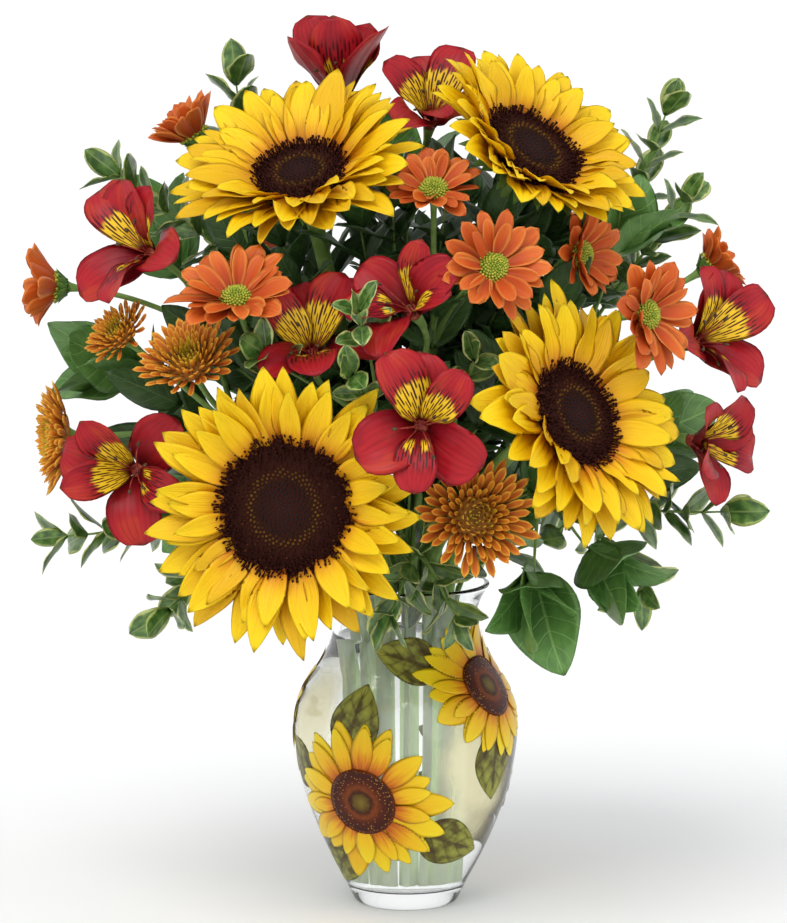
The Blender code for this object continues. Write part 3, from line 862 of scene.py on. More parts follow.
SUNFLOWER_PETAL = Petal(36, 15, 0.44, 0.85, 0.45, 0.10, 0.12, -0.50, 0.22, 0.0, 0.5, 4, 0.8, 0.0, 0.4)
DAISY_PETAL = Petal(19, 7.6, 0.60, 0.50, 0.42, 0.10, 0.20, -0.40, 0.34, 0.0, 0.32, 3, 0.3, 0.0, 0.4)
MUM_PETAL = Petal(17, 4.2, 0.66, 0.40, 0.45, 0.05, 0.30, 0.35, 0.65, 0.0, 0.06, 2, 0.1, 0.0, 0.4)
OUTER_TEPAL = Petal(46, 28, 0.62, 0.50, 0.15, 1.15, -1.34, -0.42, 0.20, 0.0, 0.60, 3, 1.5, 0.0, 0.45)
INNER_TEPAL = Petal(47, 25, 0.68, 0.50, 0.13, 1.18, -1.12, -0.40, 0.30, 0.0, 0.50, 3, 1.6, 0.0, 0.45)
LOWER_TEPAL = Petal(42, 24, 0.66, 0.52, 0.13, 1.22, -0.98, -0.62, 0.22, 0.0, 0.50, 3, 1.5, 0.0, 0.45)

# lift of the petals in degrees, the roll that sets how each flower is turned, its seed, and
# how blunt its petals are
Sunflower = namedtuple("Sunflower", "lift roll seed blunt")
SUNFLOWERS = {
    1: Sunflower(6, 0.2, 3, 0.82), 2: Sunflower(13, 0.5, 5, 0.64),
    3: Sunflower(20, 1.1, 8, 0.68), 4: Sunflower(4, 0.8, 13, 0.62),
}
# lift of each daisy's petals in degrees: those at the sides are half open
DAISY_LIFTS = {1: 13, 2: 12, 3: 9, 4: 14, 5: 13, 6: 38, 7: 34, 8: 38, 9: 12, 10: 15}
# turn of each flower about the way it faces, in degrees, how far it is open, and its size
Alstroemeria = namedtuple("Alstroemeria", "turn opening size")
ALSTROEMERIAS = {
    1: Alstroemeria(0, 1.0, 1.04), 2: Alstroemeria(10, 0.9, 1.12), 3: Alstroemeria(-50, 0.75, 1.02),
    4: Alstroemeria(20, 0.8, 1.1), 5: Alstroemeria(75, 0.85, 1.08), 6: Alstroemeria(-20, 0.85, 1.08),
    7: Alstroemeria(-70, 0.7, 1.1), 8: Alstroemeria(40, -0.3, 1.5), 9: Alstroemeria(15, 0.6, 1.2),
    10: Alstroemeria(0, 0.8, 1.05), 11: Alstroemeria(30, 0.85, 1.05),
}

# share of the petals' start, lift on top of the flower's own, height, size, and first angle in
# turns of one petal, of each of a sunflower's rows; then fewer petals, lift, height and size of
# each of a daisy's rows
SUNFLOWER_ROWS = ((1.0, -0.02, -0.4, 1.0, 0.0), (0.96, 0.12, 0.2, 0.97, 0.5), (0.9, 0.24, 0.9, 0.86, 0.25))
DAISY_ROWS = ((0, 0.0, 0.0, 1.0), (3, 0.22, 0.6, 0.86))
PETAL_START = 0.90  # of a sunflower's petals, as a share of the disc's radius

# outlines of single florets as (radius, height): closed and short, open and tall, and a daisy's
SHORT_FLORETS = [[(0, 0), (0.62, 0.1), (0.72, wide), (0.4, 1.9), (0, 2.2)] for wide in (1.0, 1.2, 1.4)]
TALL_FLORETS = [
    [(0, 0), (0.34, 0.1), (0.30, 2.6), (0.62, 3.5), (0.42, 4.2), (0, 4.0)],
    [(0, 0), (0.30, 0.1), (0.36, 2.0), (0.44, 3.9), (0, 4.6)],
    [(0, 0), (0.36, 0.1), (0.28, 2.9), (0.70, 4.0), (0, 4.3)],
]
BUTTON_FLORETS = [[(0, 0), (0.52, 0.1), (0.62, wide), (0.36, 1.5), (0, 1.7)] for wide in (0.9, 1.05, 1.2)]


def bud_mesh(name, profile):
    """A small turned bud that lies along +X."""
    mesh = lathe(name, profile, 6)
    mesh.transform(Matrix.Rotation(math.pi / 2, 4, "Y"))
    return mesh


def buds(name, profiles):
    return kept_shapes(name, [bud_mesh(name, profile) for profile in profiles])


def turned_core(name, profile, steps, surface):
    """A turned mesh with its finish: the solid middle that florets or petals stand on."""
    mesh = lathe(name, profile, steps)
    mesh.materials.append(surface)
    return mesh


def build_sunflower(number):
    look = bpy.context.scene.flower_sizes
    grows = SUNFLOWERS[number]
    names = {part: f"sunflower_{number}_{part}" for part in ("petals", "disc", "stem")}
    head = head_of(names["petals"], 0.65)
    eye = head_of(names["disc"], 0).reach
    lift = math.radians(grows.lift)
    length = (head.reach - eye * 0.84) * look.sunflower_petal_length
    petal = SUNFLOWER_PETAL._replace(length=length, blunt=grows.blunt)
    shapes = petals_like("sunflower_petal", petal, 9, 12, 8, grows.seed, wild=1.7)
    made = []
    for row, (share, raise_by, low, size, start) in enumerate(SUNFLOWER_ROWS):
        count = look.sunflower_petals - row * 2
        start_radius = eye * PETAL_START * share
        made.append(florets(
            f"row_{row}", shapes, finishes["sunflower petal"], count=count, seed=grows.seed * 10 + row,
            first_angle=start * math.tau / look.sunflower_petals, angle_step=math.tau / count,
            inner_radius=start_radius, outer_radius=start_radius, inner_height=low, outer_height=low,
            inner_lift=lift + raise_by, outer_lift=lift + raise_by, inner_size=size, outer_size=size,
            turn_spread=0.09, lift_spread=0.15, roll_spread=0.38, size_spread=0.11, height_spread=0.4,
        ))
    place = stand(head, grows.roll)
    piece(names["petals"], joined_mesh("petals", made), "sunflower_petal", names["petals"], move=place)
    piece(names["disc"], sunflower_disc(eye, grows.seed), "sunflower_disc", names["disc"], move=place)
    bract = Petal(eye * 0.62 + 9, 8.5, 0.35, 0.8, 0.8, 0.0, -0.1, -0.3, 0.1, ripple=0.4)
    bracts = petals_like("bract", bract, 4, 6, 4, 9)
    count = 22
    green = florets(
        "bracts", bracts, finishes["bract"], count=count, seed=grows.seed, angle_step=math.tau / count,
        inner_radius=eye * 0.38, outer_radius=eye * 0.38, inner_height=-3.2, outer_height=-3.2,
        inner_lift=lift * 0.5 - 0.1, outer_lift=lift * 0.5 - 0.1, turn_spread=0.1, lift_spread=0.1,
        roll_spread=0.2, size_spread=0.12, height_spread=0.5,
    )
    green.transform(place)
    stem = rounded_copy(names["stem"])
    stem.materials.append(finishes["stem"])
    piece(names["stem"], joined_mesh("stem", [stem, green]), "green_stem", names["stem"])


INNER_SHARE = 0.38  # of the disc's finish, which the short florets in its middle take


def sunflower_disc(eye, seed):
    """A low dome set with florets: short and closed in the middle, tall and open round it."""
    look = finishes["sunflower floret"]
    dome = [
        (0, 0.4), (eye * 0.98, 0.4), (eye * 1.01, 2.4), (eye * 0.9, 3.4), (eye * 0.6, 4.0),
        (eye * 0.3, 4.1), (0, 4.2),
    ]
    base = turned_core("dome", dome, 48, look)
    dark = base.attributes.new("share", "FLOAT", "POINT")
    dark.data.foreach_set("value", np.full(len(base.vertices), 0.45, np.float32))
    short = buds("short_floret", SHORT_FLORETS)
    tall = buds("tall_floret", TALL_FLORETS)
    amount = bpy.context.scene.flower_sizes.disc_florets * (eye / 30) ** 2
    inner = florets(
        "inner", short, look, count=int(amount * 0.36), seed=seed, inner_radius=0, outer_radius=eye * 0.62,
        inner_height=3.4, outer_height=3.0, inner_lift=1.5, outer_lift=1.25, inner_size=0.7, outer_size=1.0,
        lift_spread=0.1, size_spread=0.12,
    )
    outer = florets(
        "outer", tall, look, count=int(amount * 0.80), seed=seed + 1, inner_radius=eye * 0.60,
        outer_radius=eye * 0.99, radius_power=0.56, inner_height=2.9, outer_height=2.2,
        inner_lift=1.45, outer_lift=0.84, inner_size=0.8, outer_size=0.92, turn_spread=0.05,
        lift_spread=0.20, roll_spread=0.4, size_spread=0.2, height_spread=0.3,
    )
    shift_shares(outer, INNER_SHARE, 1 - INNER_SHARE)
    shift_shares(inner, 0, INNER_SHARE)
    return joined_mesh("disc", [base, inner, outer])


def shift_shares(mesh, start, span):
    """Spreads the florets' shares from start over span, so one finish runs over the whole disc."""
    shares = mesh.attributes["share"]
    values = np.zeros(len(mesh.vertices), np.float32)
    shares.data.foreach_get("value", values)
    shares.data.foreach_set("value", start + span * values)


DAISY_PETAL_START, BRACT_LIFT = 4.2, 0.95


def build_daisy(number):
    look = bpy.context.scene.flower_sizes
    opening = math.radians(DAISY_LIFTS[number])
    name = f"daisy_{number}"
    head = head_of(name, 0.6)
    length = (head.reach - 4.0) * 1.02
    petal = DAISY_PETAL._replace(length=length, width=length * 0.41)
    shapes = petals_like("daisy_petal", petal, 6, 9, 7, number, wild=1.7)
    made = []
    for row, (fewer, raise_by, low, size) in enumerate(DAISY_ROWS):
        count = look.daisy_petals - fewer
        made.append(florets(
            f"row_{row}", shapes, finishes["daisy petal"], count=count, seed=number * 7 + row,
            first_angle=row * 0.3, angle_step=math.tau / count, inner_radius=DAISY_PETAL_START,
            outer_radius=DAISY_PETAL_START, inner_height=low, outer_height=low,
            inner_lift=opening + raise_by, outer_lift=opening + raise_by, inner_size=size,
            outer_size=size, turn_spread=0.12, lift_spread=0.22, roll_spread=0.42, size_spread=0.13,
            height_spread=0.15,
        ))
    made.append(button(6.4, 2.0, number))
    cup = [(0, -6), (1.8, -5.8), (3.4, -4), (4.8, -1.6), (5.4, 0.2), (0, 0.2)]
    made.append(turned_core("cup", cup, 20, finishes["bract"]))
    bracts = petals_like("daisy_bract", Petal(7.5, 3.4, 0.4, 0.7, 0.9, 0.0, -0.2, -0.3), 3, 5, 3, number)
    count = 12
    made.append(florets(
        "bracts", bracts, finishes["bract"], count=count, seed=number, angle_step=math.tau / count,
        inner_radius=3.4, outer_radius=3.4, inner_height=-4.2, outer_height=-4.2, inner_lift=BRACT_LIFT,
        outer_lift=BRACT_LIFT, turn_spread=0.1, lift_spread=0.12, roll_spread=0.2, size_spread=0.12,
    ))
    piece(name, joined_mesh(name, made), "daisy_petal", name, move=stand(head, number * 1.3))


def button(radius, height, seed):
    """The domed middle of a daisy: small closed florets on a spiral."""
    look = finishes["daisy button"]
    rows = florets(
        "button", buds("button_floret", BUTTON_FLORETS), look, count=120, seed=seed, inner_radius=0,
        outer_radius=radius, inner_height=height + 1.6, outer_height=0.6, inner_lift=1.5,
        outer_lift=0.5, inner_size=0.9, outer_size=1.05, lift_spread=0.08, size_spread=0.1,
    )
    dome = [
        (0, 0.2), (radius * 0.9, 0.2), (radius * 0.95, 1.0), (radius * 0.6, height + 1.0),
        (0, height + 1.8),
    ]
    return joined_mesh("button", [turned_core("core", dome, 24, look), rows])


def build_mum(number):
    look = bpy.context.scene.flower_sizes
    name = f"mum_{number}"
    head = head_of(name, 2.0)
    reach = head.reach
    petal = MUM_PETAL._replace(length=reach * 0.60, width=reach * 0.155)
    petals = florets(
        "petals", petals_like("mum_petal", petal, 6, 7, 4, number), finishes["mum petal"],
        count=look.mum_petals, seed=number, inner_radius=0.6, outer_radius=reach * 0.46,
        radius_power=0.62, inner_height=2.6, outer_height=-0.6, inner_lift=1.45, outer_lift=0.05,
        inner_size=0.28, outer_size=0.98, turn_spread=0.05, lift_spread=0.14, roll_spread=0.25,
        size_spread=0.08, height_spread=0.3,
    )
    dome = [(0, -1.8), (reach * 0.4, -1.8), (reach * 0.4, 0), (reach * 0.2, 2.0), (0, 2.8)]
    core = turned_core("core", dome, 20, finishes["mum petal"])
    piece(name, joined_mesh(name, [core, petals]), "mum_petal", name, move=stand(head, number * 0.9))


def build_alstroemeria(number):
    grows = ALSTROEMERIAS[number]
    name = f"alstroemeria_{number}"
    head = head_of(name, 0.65, 12.0)
    scale = head.reach / 36 * grows.size
    made = []
    close = (1 - grows.opening) * 1.1

    def whorl(label, petal, surface, count, start, step, low=-12.0):
        petal = petal._replace(curl=petal.curl + close * 0.7, late=petal.late + close * 0.5)
        shapes = petals_like(label, petal, 3, 14, 10, number + start, wild=1.5)
        made.append(florets(
            label, shapes, surface, count=count, seed=number * 3 + start, first_angle=math.radians(start),
            angle_step=math.radians(step), inner_radius=1.6, outer_radius=1.6, inner_height=low,
            outer_height=low, inner_size=scale, outer_size=scale, turn_spread=0.10,
            lift_spread=0.10, roll_spread=0.22, size_spread=0.05,
        ))

    whorl("outer_tepal", OUTER_TEPAL, finishes["tepal"], 3, 90, 120)
    whorl("upper_tepal", INNER_TEPAL, finishes["striped tepal"], 2, 51, 76, low=-10.4)
    whorl("lower_tepal", LOWER_TEPAL, finishes["marked tepal"], 1, 270, 120, low=-8.0)
    made.append(stamens(number, scale))
    throat = [(0, -13), (2.6, -12.6), (3.4, -10), (3.0, -7), (0, -8)]
    made.append(turned_core("throat", throat, 12, finishes["stamen"]))
    place = stand(head, math.radians(grows.turn))
    piece(name, joined_mesh(name, made), "alstroemeria_petal", name, move=place)


def stamens(seed, scale):
    """Six thin stamens that bend out of the throat, each with its anther on its end."""
    rng = np.random.default_rng(seed + 40)
    threads, anthers = [], []
    along, across = 8, 2
    for i in range(3):
        line = Petal(22 * rng.uniform(0.85, 1.1), 0.8, 0.5, 0.2, 1.0, 1.35, -0.4, -0.45, 0.2, thick=0.6)
        thread = petal_mesh(f"thread_{i}", line, along, across)
        tip = thread.vertices[along * (across + 1) + 1].co
        anther = bud_mesh(f"anther_{i}", [(0, -0.4), (0.7, 0.2), (0.9, 1.4), (0.6, 2.6), (0, 3.0)])
        way = line.rise + line.curl + line.late
        anther.transform(Matrix.Translation(tip) @ Matrix.Rotation(-way, 4, "Y"))
        threads.append(thread)
        anthers.append(anther)
    made = []
    for label, shapes, look in (("thread", threads, "stamen"), ("anther", anthers, "anther")):
        made.append(florets(
            label, kept_shapes(label, shapes), finishes[look], count=6, seed=seed, angle_step=math.tau / 6,
            inner_radius=0.8, outer_radius=0.8, inner_height=-10, outer_height=-10, inner_size=scale,
            outer_size=scale, turn_spread=0.5, lift_spread=0.16, size_spread=0.12,
        ))
    return joined_mesh("stamens", made)


# ---------------------------------------------------------------- foliage

EDGED_LEAF = Petal(21, 11.5, 0.50, 0.62, 0.16, 0.05, 0.10, -0.35, 0.0, 0.22, 0.0, 1, 0.5, 0.0, 0.35)
BROAD_LEAF = Petal(46, 32, 0.42, 0.75, 0.10, 0.10, 0.05, -0.50, 0.0, 0.20, 0.35, 6, 1.2, 0.0, 0.4)
DARK_LEAF = Petal(34, 17, 0.44, 0.8, 0.12, 0.05, 0.0, -0.4, 0.0, 0.25, 0.25, 5, 0.9, 0.0, 0.4)

NECK_HEIGHT, CUT_END_HEIGHT, FOOT_SHARE = 142.0, 13.0, 0.72
RINGS = {"outer": (16, 25.0), "inner": (9, 14.5)}  # stems in each ring of the neck, and its radius
TWIG_SHARE = 0.7  # of the trunk's thickness

# how each kind of plant carries its leaves: its leaf and that leaf's mesh steps, the finish and
# the slot, then the spacing of the leaf pairs and the bare share of the trunk, the same of its
# twigs, and the angle between leaf and twig
Kind = namedtuple("Kind", "leaf along across finish slot trunk_spacing trunk_bare spacing bare angle")
EDGED = Kind(EDGED_LEAF, 10, 6, "edged leaf", "edged_leaf", 16, 0.72, 8.5, 0.25, 0.95)
BROAD = Kind(BROAD_LEAF, 14, 12, "broad leaf", "broad_leaf", 45, 0.85, 60, 0.98, 0.6)

# the routes of the twigs, as the CAD part has them: the place in the neck, the fork and the tips
Plant = namedtuple("Plant", "slot fork tips kind trunk")
PLANTS = {
    "sprig_front": Plant(("outer", 12), (5, -47, 174), ((-7, -67, 150), (22, -64, 148)), EDGED, 1.6),
    "sprig_upper_left": Plant(
        ("inner", 3), (-68, 22, 290), ((-80, 24, 386), (-134, 8, 344)), EDGED, 1.6
    ),
    "sprig_right": Plant(("outer", 2), (84, 44, 262), ((122, 22, 372), (130, 14, 332)), EDGED, 1.6),
    "sprig_lower_left": Plant(
        ("outer", 8), (-72, -12, 182), ((-158, -20, 178), (-108, -58, 150)), EDGED, 1.6
    ),
    "sprig_lower_right": Plant(
        ("outer", 1), (78, 0, 183), ((146, -24, 190), (108, -40, 158)), EDGED, 1.6
    ),
    "leaves_left": Plant(
        ("outer", 7), (-70, 16, 240), ((-124, 6, 254), (-108, 44, 296), (-96, 40, 200)), BROAD, 1.8
    ),
    "leaves_right": Plant(
        ("outer", 15), (58, -16, 198),
        ((98, 4, 308), (104, 2, 218), (84, -48, 176), (58, -66, 168)), BROAD, 1.8,
    ),
    "leaves_back": Plant(
        ("outer", 6), (-14, 60, 207), ((-62, 98, 192), (54, 102, 190), (-8, 84, 330)), BROAD, 1.8
    ),
}


def bent(start, start_way, end, end_way, steps, pull=0.38):
    """Points of a cubic bend that leaves start along start_way and reaches end along end_way."""
    reach = (end - start).length * pull
    a, b, c, d = start, start + start_way * reach, end - end_way * reach, end
    points = []
    for i in range(1, steps + 1):
        t = i / steps
        s = 1 - t
        points.append(a * s ** 3 + b * 3 * s * s * t + c * 3 * s * t * t + d * t ** 3)
    return points


def straight_run(slot):
    """The cut end of a plant in the vase, and the point in the neck that it runs straight to."""
    count, radius = RINGS[slot[0]]
    angle = math.tau * slot[1] / count
    out = Vector((math.cos(angle) * radius, math.sin(angle) * radius, 0))
    return out * FOOT_SHARE + Vector((0, 0, CUT_END_HEIGHT)), out + Vector((0, 0, NECK_HEIGHT))


def line_mesh(name, points):
    mesh = bpy.data.meshes.new(name)
    links = [(i, i + 1) for i in range(len(points) - 1)]
    mesh.from_pydata([tuple(Vector(p) * MM) for p in points], links, [])
    return mesh


def leafy(name, points, shapes, surface, spacing, bare, thickness, seed, angle=0.9):
    """A twig along the points, in millimetres, with leaf pairs past its bare share."""
    return grown(name, trees["twig"], {
        "Leaves": shapes, "Leaf Finish": surface, "Twig Finish": finishes["stem"], "Seed": seed,
        "Bare Share": bare, "Spacing": spacing * MM, "Pair Turn": math.pi / 2, "Leaf Angle": angle,
        "Size": 1.0, "Size Spread": 0.2, "Thickness": thickness * MM,
    }, line_mesh(name, points))


def build_plant(name, seed):
    plant = PLANTS[name]
    kind = plant.kind
    shapes = petals_like(name + "_leaf", kind.leaf, 5, kind.along, kind.across, seed)
    surface = finishes[kind.finish]
    cut_end, neck = straight_run(plant.slot)
    rising = (neck - cut_end).normalized()
    fork = Vector(plant.fork)
    way = ((fork - neck).normalized() + Vector((0, 0, 0.3))).normalized()
    trunk = [cut_end, neck, *bent(neck, rising, fork, way, 10)]
    made = [leafy("trunk", trunk, shapes, surface, kind.trunk_spacing, kind.trunk_bare, plant.trunk, seed)]
    for number, tip in enumerate(plant.tips):
        tip = Vector(tip)
        heading = (tip - fork).normalized()
        leave = (heading + way * 0.5).normalized()
        points = [fork - leave * plant.trunk, *bent(fork, leave, tip, heading, 8)]
        made.append(leafy(
            f"twig_{number}", points, shapes, surface, kind.spacing, kind.bare,
            plant.trunk * TWIG_SHARE, seed + number * 17, kind.angle,
        ))
    piece(name, joined_mesh(name, made), kind.slot, name)


MIDDLE_TWIGS = (  # start and tip of the short twigs whose leaves show between the middle flowers
    ((-12, -58, 222), (-24, -120, 264)), ((-14, -62, 240), (-21, -124, 292)),
    ((22, -56, 234), (30, -98, 268)), ((-34, -56, 236), (-62, -94, 270)),
)


def build_middle_leaves():
    name = "middle_leaves"
    shapes = petals_like("middle_leaf", EDGED_LEAF._replace(length=17, width=10), 5, 10, 6, 31)
    made = []
    for number, (start, tip) in enumerate(MIDDLE_TWIGS):
        start, tip = Vector(start), Vector(tip)
        rising = Vector((0, -0.5, 1)).normalized()
        points = [start, *bent(start, rising, tip, (tip - start).normalized(), 8)]
        made.append(leafy("middle", points, shapes, finishes["edged leaf"], 11, 0.72, 1.0, 500 + number, 1.0))
    piece(name, joined_mesh(name, made), "edged_leaf")


# middle and half sizes of the rounded space that the dark leaves fill, and the height in the
# neck that their twigs start from
FILLER_CENTRE, FILLER_REACH, FILLER_BASE = (0, -6, 212), (108, 70, 125), 148


def build_filler():
    """Dark leaves on short twigs that fill the space between the stems, behind the flowers."""
    name = "filler_leaves"
    rng = np.random.default_rng(21)
    shapes = petals_like("filler_leaf", DARK_LEAF, 6, 10, 8, 77)
    made = []
    for number in range(bpy.context.scene.flower_sizes.filler_twigs):
        around = number * GOLDEN_ANGLE
        up = math.radians(rng.uniform(-8, 68))
        way = (math.cos(around) * math.cos(up), math.sin(around) * math.cos(up), math.sin(up))
        reach = Vector([c + w * r for c, w, r in zip(FILLER_CENTRE, way, FILLER_REACH)])
        tip = reach + Vector(rng.uniform(-6, 6, 3))
        x, y = math.cos(around) * rng.uniform(4, 20), math.sin(around) * rng.uniform(4, 20)
        neck = Vector((x, y, FILLER_BASE))
        out = (tip - Vector(HEART)).normalized()
        points = [neck, *bent(neck, Vector((0, 0, 1)), tip, out, 8)]
        made.append(leafy("filler", points, shapes, finishes["dark leaf"], 15, 0.38, 1.1, 300 + number))
    piece(name, joined_mesh(name, made), "broad_leaf")


def build_stems():
    """The small flowers' stems; a sunflower's stem is made with its head."""
    for node in sorted(frame["nodes"]):
        if "_stem" in node and not node.startswith("sunflower"):
            stem = rounded_copy(node)
            stem.materials.append(finishes["stem"])
            piece(node + "_green", stem, "green_stem", node)


# ---------------------------------------------------------------- vase, water and paint

VASE_OUTSIDE = (  # height and outer radius of the vase, foot to rim
    (0, 23.5), (1.5, 25), (10, 29.2), (25, 37), (40, 43.5), (56, 49), (72, 52), (85, 52.8),
    (98, 50.2), (107, 45.8), (116, 40), (127, 35.5), (139, 33.8), (146.5, 35.8), (152.5, 39.5),
)
VASE_WALL, VASE_FLOOR, WATER_TOP = 2.8, 9.0, 129.0


def smooth_through(knots, per_span):
    """Points of a smooth curve through the knots."""
    ends = [knots[0], *knots, knots[-1]]
    points = []
    for i in range(len(knots) - 1):
        a, b, c, d = (Vector(p) for p in ends[i:i + 4])
        for step in range(per_span):
            t = step / per_span
            drift = 2 * b + (c - a) * t + (2 * a - 5 * b + 4 * c - d) * t * t
            points.append(0.5 * (drift + (3 * b - a - 3 * c + d) * t ** 3))
    points.append(Vector(knots[-1]))
    return points


def vase_outline():
    """Outer radius and height, foot to rim."""
    return np.array([(p.y, p.x) for p in smooth_through(VASE_OUTSIDE, 6)])


def clear_finish(name, colour, ior):
    surface, _, _ = finish(
        name, Base_Color=(*colour, 1), Roughness=0.0, IOR=ior, Transmission_Weight=1.0
    )
    return surface


def build_vase(name):
    outside = vase_outline()
    inside = outside[outside[:, 1] > VASE_FLOOR + 3.5] - (VASE_WALL, 0)
    r, z = outside[-1]
    rim = [(r - 0.35, z + 0.75), (r - VASE_WALL / 2, z + 1.0), (r - 2.45, z + 0.75)]
    r = inside[0][0]
    floor = [
        (r - 0.6, VASE_FLOOR + 1.8), (r - 2.2, VASE_FLOOR + 0.5), (r - 5, VASE_FLOOR), (0, VASE_FLOOR),
    ]
    foot = [(0, 0.0), (18, 0.0), (20, 0.0), (22.5, 0.0)]
    profile = [*foot, *outside[1:].tolist(), *rim, *inside[::-1].tolist(), *floor]
    glass = clear_finish("clear glass", (0.99, 1.0, 0.995), 1.46)
    piece(name, turned_core(name, profile, 128, glass), "clear_glass", "vase")


WATER_OVERLAP = 0.12  # how far the water reaches into the glass, so no air shows between them


def build_water(name):
    outside = vase_outline()
    held = (outside[:, 1] > VASE_FLOOR + 3.5) & (outside[:, 1] < WATER_TOP - 1)
    inside = outside[held] - (VASE_WALL - WATER_OVERLAP, 0)
    r = inside[0][0]
    floor = [
        (0, VASE_FLOOR - 0.1), (r - 5, VASE_FLOOR - 0.1), (r - 2.1, VASE_FLOOR + 0.4),
        (r - 0.5, VASE_FLOOR + 1.7),
    ]
    r = np.interp(WATER_TOP, outside[:, 1], outside[:, 0]) - VASE_WALL + WATER_OVERLAP
    top = [(r, WATER_TOP), (r - 1.2, WATER_TOP - 0.7), (r - 3.5, WATER_TOP - 1.0), (0, WATER_TOP - 1.0)]
    water = clear_finish("water", (0.99, 1.0, 0.99), 1.33)
    piece(name, turned_core(name, [*floor, *inside.tolist(), *top], 96, water), "water", "water")


def painted_petal_finish():
    surface, g, shader = finish("painted petal", Roughness=0.35, Specular_IOR_Level=0.25)
    along, across, tone = petal_places(g)
    grain = g.noise(g.vector(across * 9, along * 2, tone * 31), 1.0, 3.0)
    body = g.ramp(along + (grain - 0.5) * 0.5 + (tone - 0.5) * 0.45, [
        (0.0, (0.40, 0.08, 0.004)), (0.16, (0.58, 0.19, 0.005)), (0.42, (0.74, 0.42, 0.006)),
        (1.0, (0.80, 0.60, 0.012)),
    ])
    feed(g, shader, Base_Color=body)
    return surface


def painted_leaf_finish():
    surface, g, shader = finish("painted leaf", Roughness=0.4, Specular_IOR_Level=0.25)
    along, across, tone = petal_places(g)
    side = (across * 2 - 1).size()
    grain = g.noise(g.vector(across * 5, along * 5, tone * 31), 1.0, 3.0)
    body = g.ramp(grain + (along - 0.5) * 0.3, [
        (0.25, (0.045, 0.020, 0.006)), (0.42, (0.10, 0.085, 0.014)), (0.58, (0.22, 0.23, 0.035)),
        (0.8, (0.33, 0.32, 0.05)),
    ])
    vein = ((along * 5 - side * 1.3 + 4).fraction() - 0.5).size().above(0.36, 0.48)
    lines = 1 - side.above(0.03, 0.10) + vein
    feed(g, shader, Base_Color=g.mix(lines * 0.45, body, (0.05, 0.03, 0.01)))
    return surface


def painted_disc_finish():
    surface, g, shader = finish("painted disc", Roughness=0.4, Specular_IOR_Level=0.2)
    along, _, _ = petal_places(g)
    speck = g.number("ShaderNodeTexVoronoi", {}, {"Vector": object_place(g), "Scale": 800.0})
    grain = g.noise(object_place(g), 500, 3.0)
    body = g.ramp(along + (grain - 0.5) * 0.2, [
        (0.0, (0.16, 0.12, 0.015)), (0.2, (0.11, 0.06, 0.008)), (0.32, (0.035, 0.007, 0.002)),
        (0.44, (0.17, 0.035, 0.004)), (0.62, (0.07, 0.009, 0.002)), (0.88, (0.035, 0.005, 0.002)),
        (1.0, (0.16, 0.03, 0.004)),
    ])
    body = g.mix((1 - speck.above(0.14, 0.22)) * along.above(0.45, 0.6) * 0.8, body, (0.70, 0.36, 0.04))
    feed(g, shader, Base_Color=body)
    return surface


def on_vase(mesh, azimuth, height, lift):
    """Lays a flat drawing on the glass: its X goes round the vase and its Y up the wall."""
    outline = vase_outline()
    arc = np.concatenate([[0], np.cumsum(np.linalg.norm(np.diff(outline, axis=0), axis=1))])
    points = np.zeros(len(mesh.vertices) * 3, np.float32)
    mesh.vertices.foreach_get("co", points)
    x, y, h = (points.reshape(-1, 3).astype(float) / MM).T
    at = np.clip(np.interp(height, outline[:, 1], arc) + y, 0, arc[-1])
    r, z = np.interp(at, arc, outline[:, 0]), np.interp(at, arc, outline[:, 1])
    slope_r, slope_z = np.gradient(outline[:, 0], arc), np.gradient(outline[:, 1], arc)
    out_r, out_z = np.interp(at, arc, slope_z), -np.interp(at, arc, slope_r)
    angle = math.radians(azimuth) + x / r
    far, up = r + (h + lift) * out_r, z + (h + lift) * out_z
    placed = np.stack([np.sin(angle) * far, -np.cos(angle) * far, up], axis=1) * MM
    mesh.vertices.foreach_set("co", placed.astype(np.float32).ravel())
    mesh.update()
    return mesh


# thickness of one stroke of paint, and the step from one petal up to the next
PAINT_THICK, PAINT_STEP = 0.012, 0.033
# azimuth from the front and height of each painted sunflower, its size, turn and seed
Painted = namedtuple("Painted", "azimuth height size turn seed")
PAINTED = (
    Painted(-25, 57, 1.0, 0.0, 1), Painted(57, 108, 0.92, 0.6, 2), Painted(-118, 92, 0.95, 1.0, 3),
    Painted(134, 60, 1.0, 0.3, 4),
)
PAINTED_LEAVES = (  # azimuth and height of its base, turn in degrees, size
    (-31, 78, 82, 1.0), (6, 42, -22, 1.0), (-58, 62, 146, 0.9), (-42, 34, 232, 0.9), (26, 118, 164, 0.9),
    (50, 90, -84, 1.0), (140, 100, 60, 1.0), (-150, 60, 20, 0.9), (168, 104, 110, 0.9), (172, 38, -24, 0.9),
)
WASHES_AND_REFRACTIONS = (  # azimuth, height, half width and half height of the cream patches behind the flowers: a wash on the glass that is also painted refraction, the far side's yellow paint and pale light seen through the water
    (-60, 84, 25, 50), (42, 76, 27, 54), (112, 80, 28, 40), (-128, 70, 24, 44), (148, 96, 22, 32),
)


# a translucent cream layer on the glass that is also painted refraction: the far side's yellow paint, and
# pale light where the floor's shadow would show through the water
def refraction_wash_finish():
    surface, g, shader = finish("cream refraction wash", Base_Color=(0.95, 0.90, 0.60, 1), Roughness=0.4)
    along, _, _ = petal_places(g)
    cloud = g.noise(object_place(g), 45, 3.0)
    feed(g, shader, Alpha=(1 - (along + (cloud - 0.5) * 0.5).above(0.35, 0.95)) * 0.55)
    return surface


REFRACTION_WASH_LIFT, LEAF_LIFT, FLOWER_LIFT = 0.06, 0.10, 0.14  # of each layer of paint over the glass
FLOWER_START = 12.5  # radius at which the painted petals start
LEAF_STEPS, STROKE_STEPS = (22, 14), (16, 6)
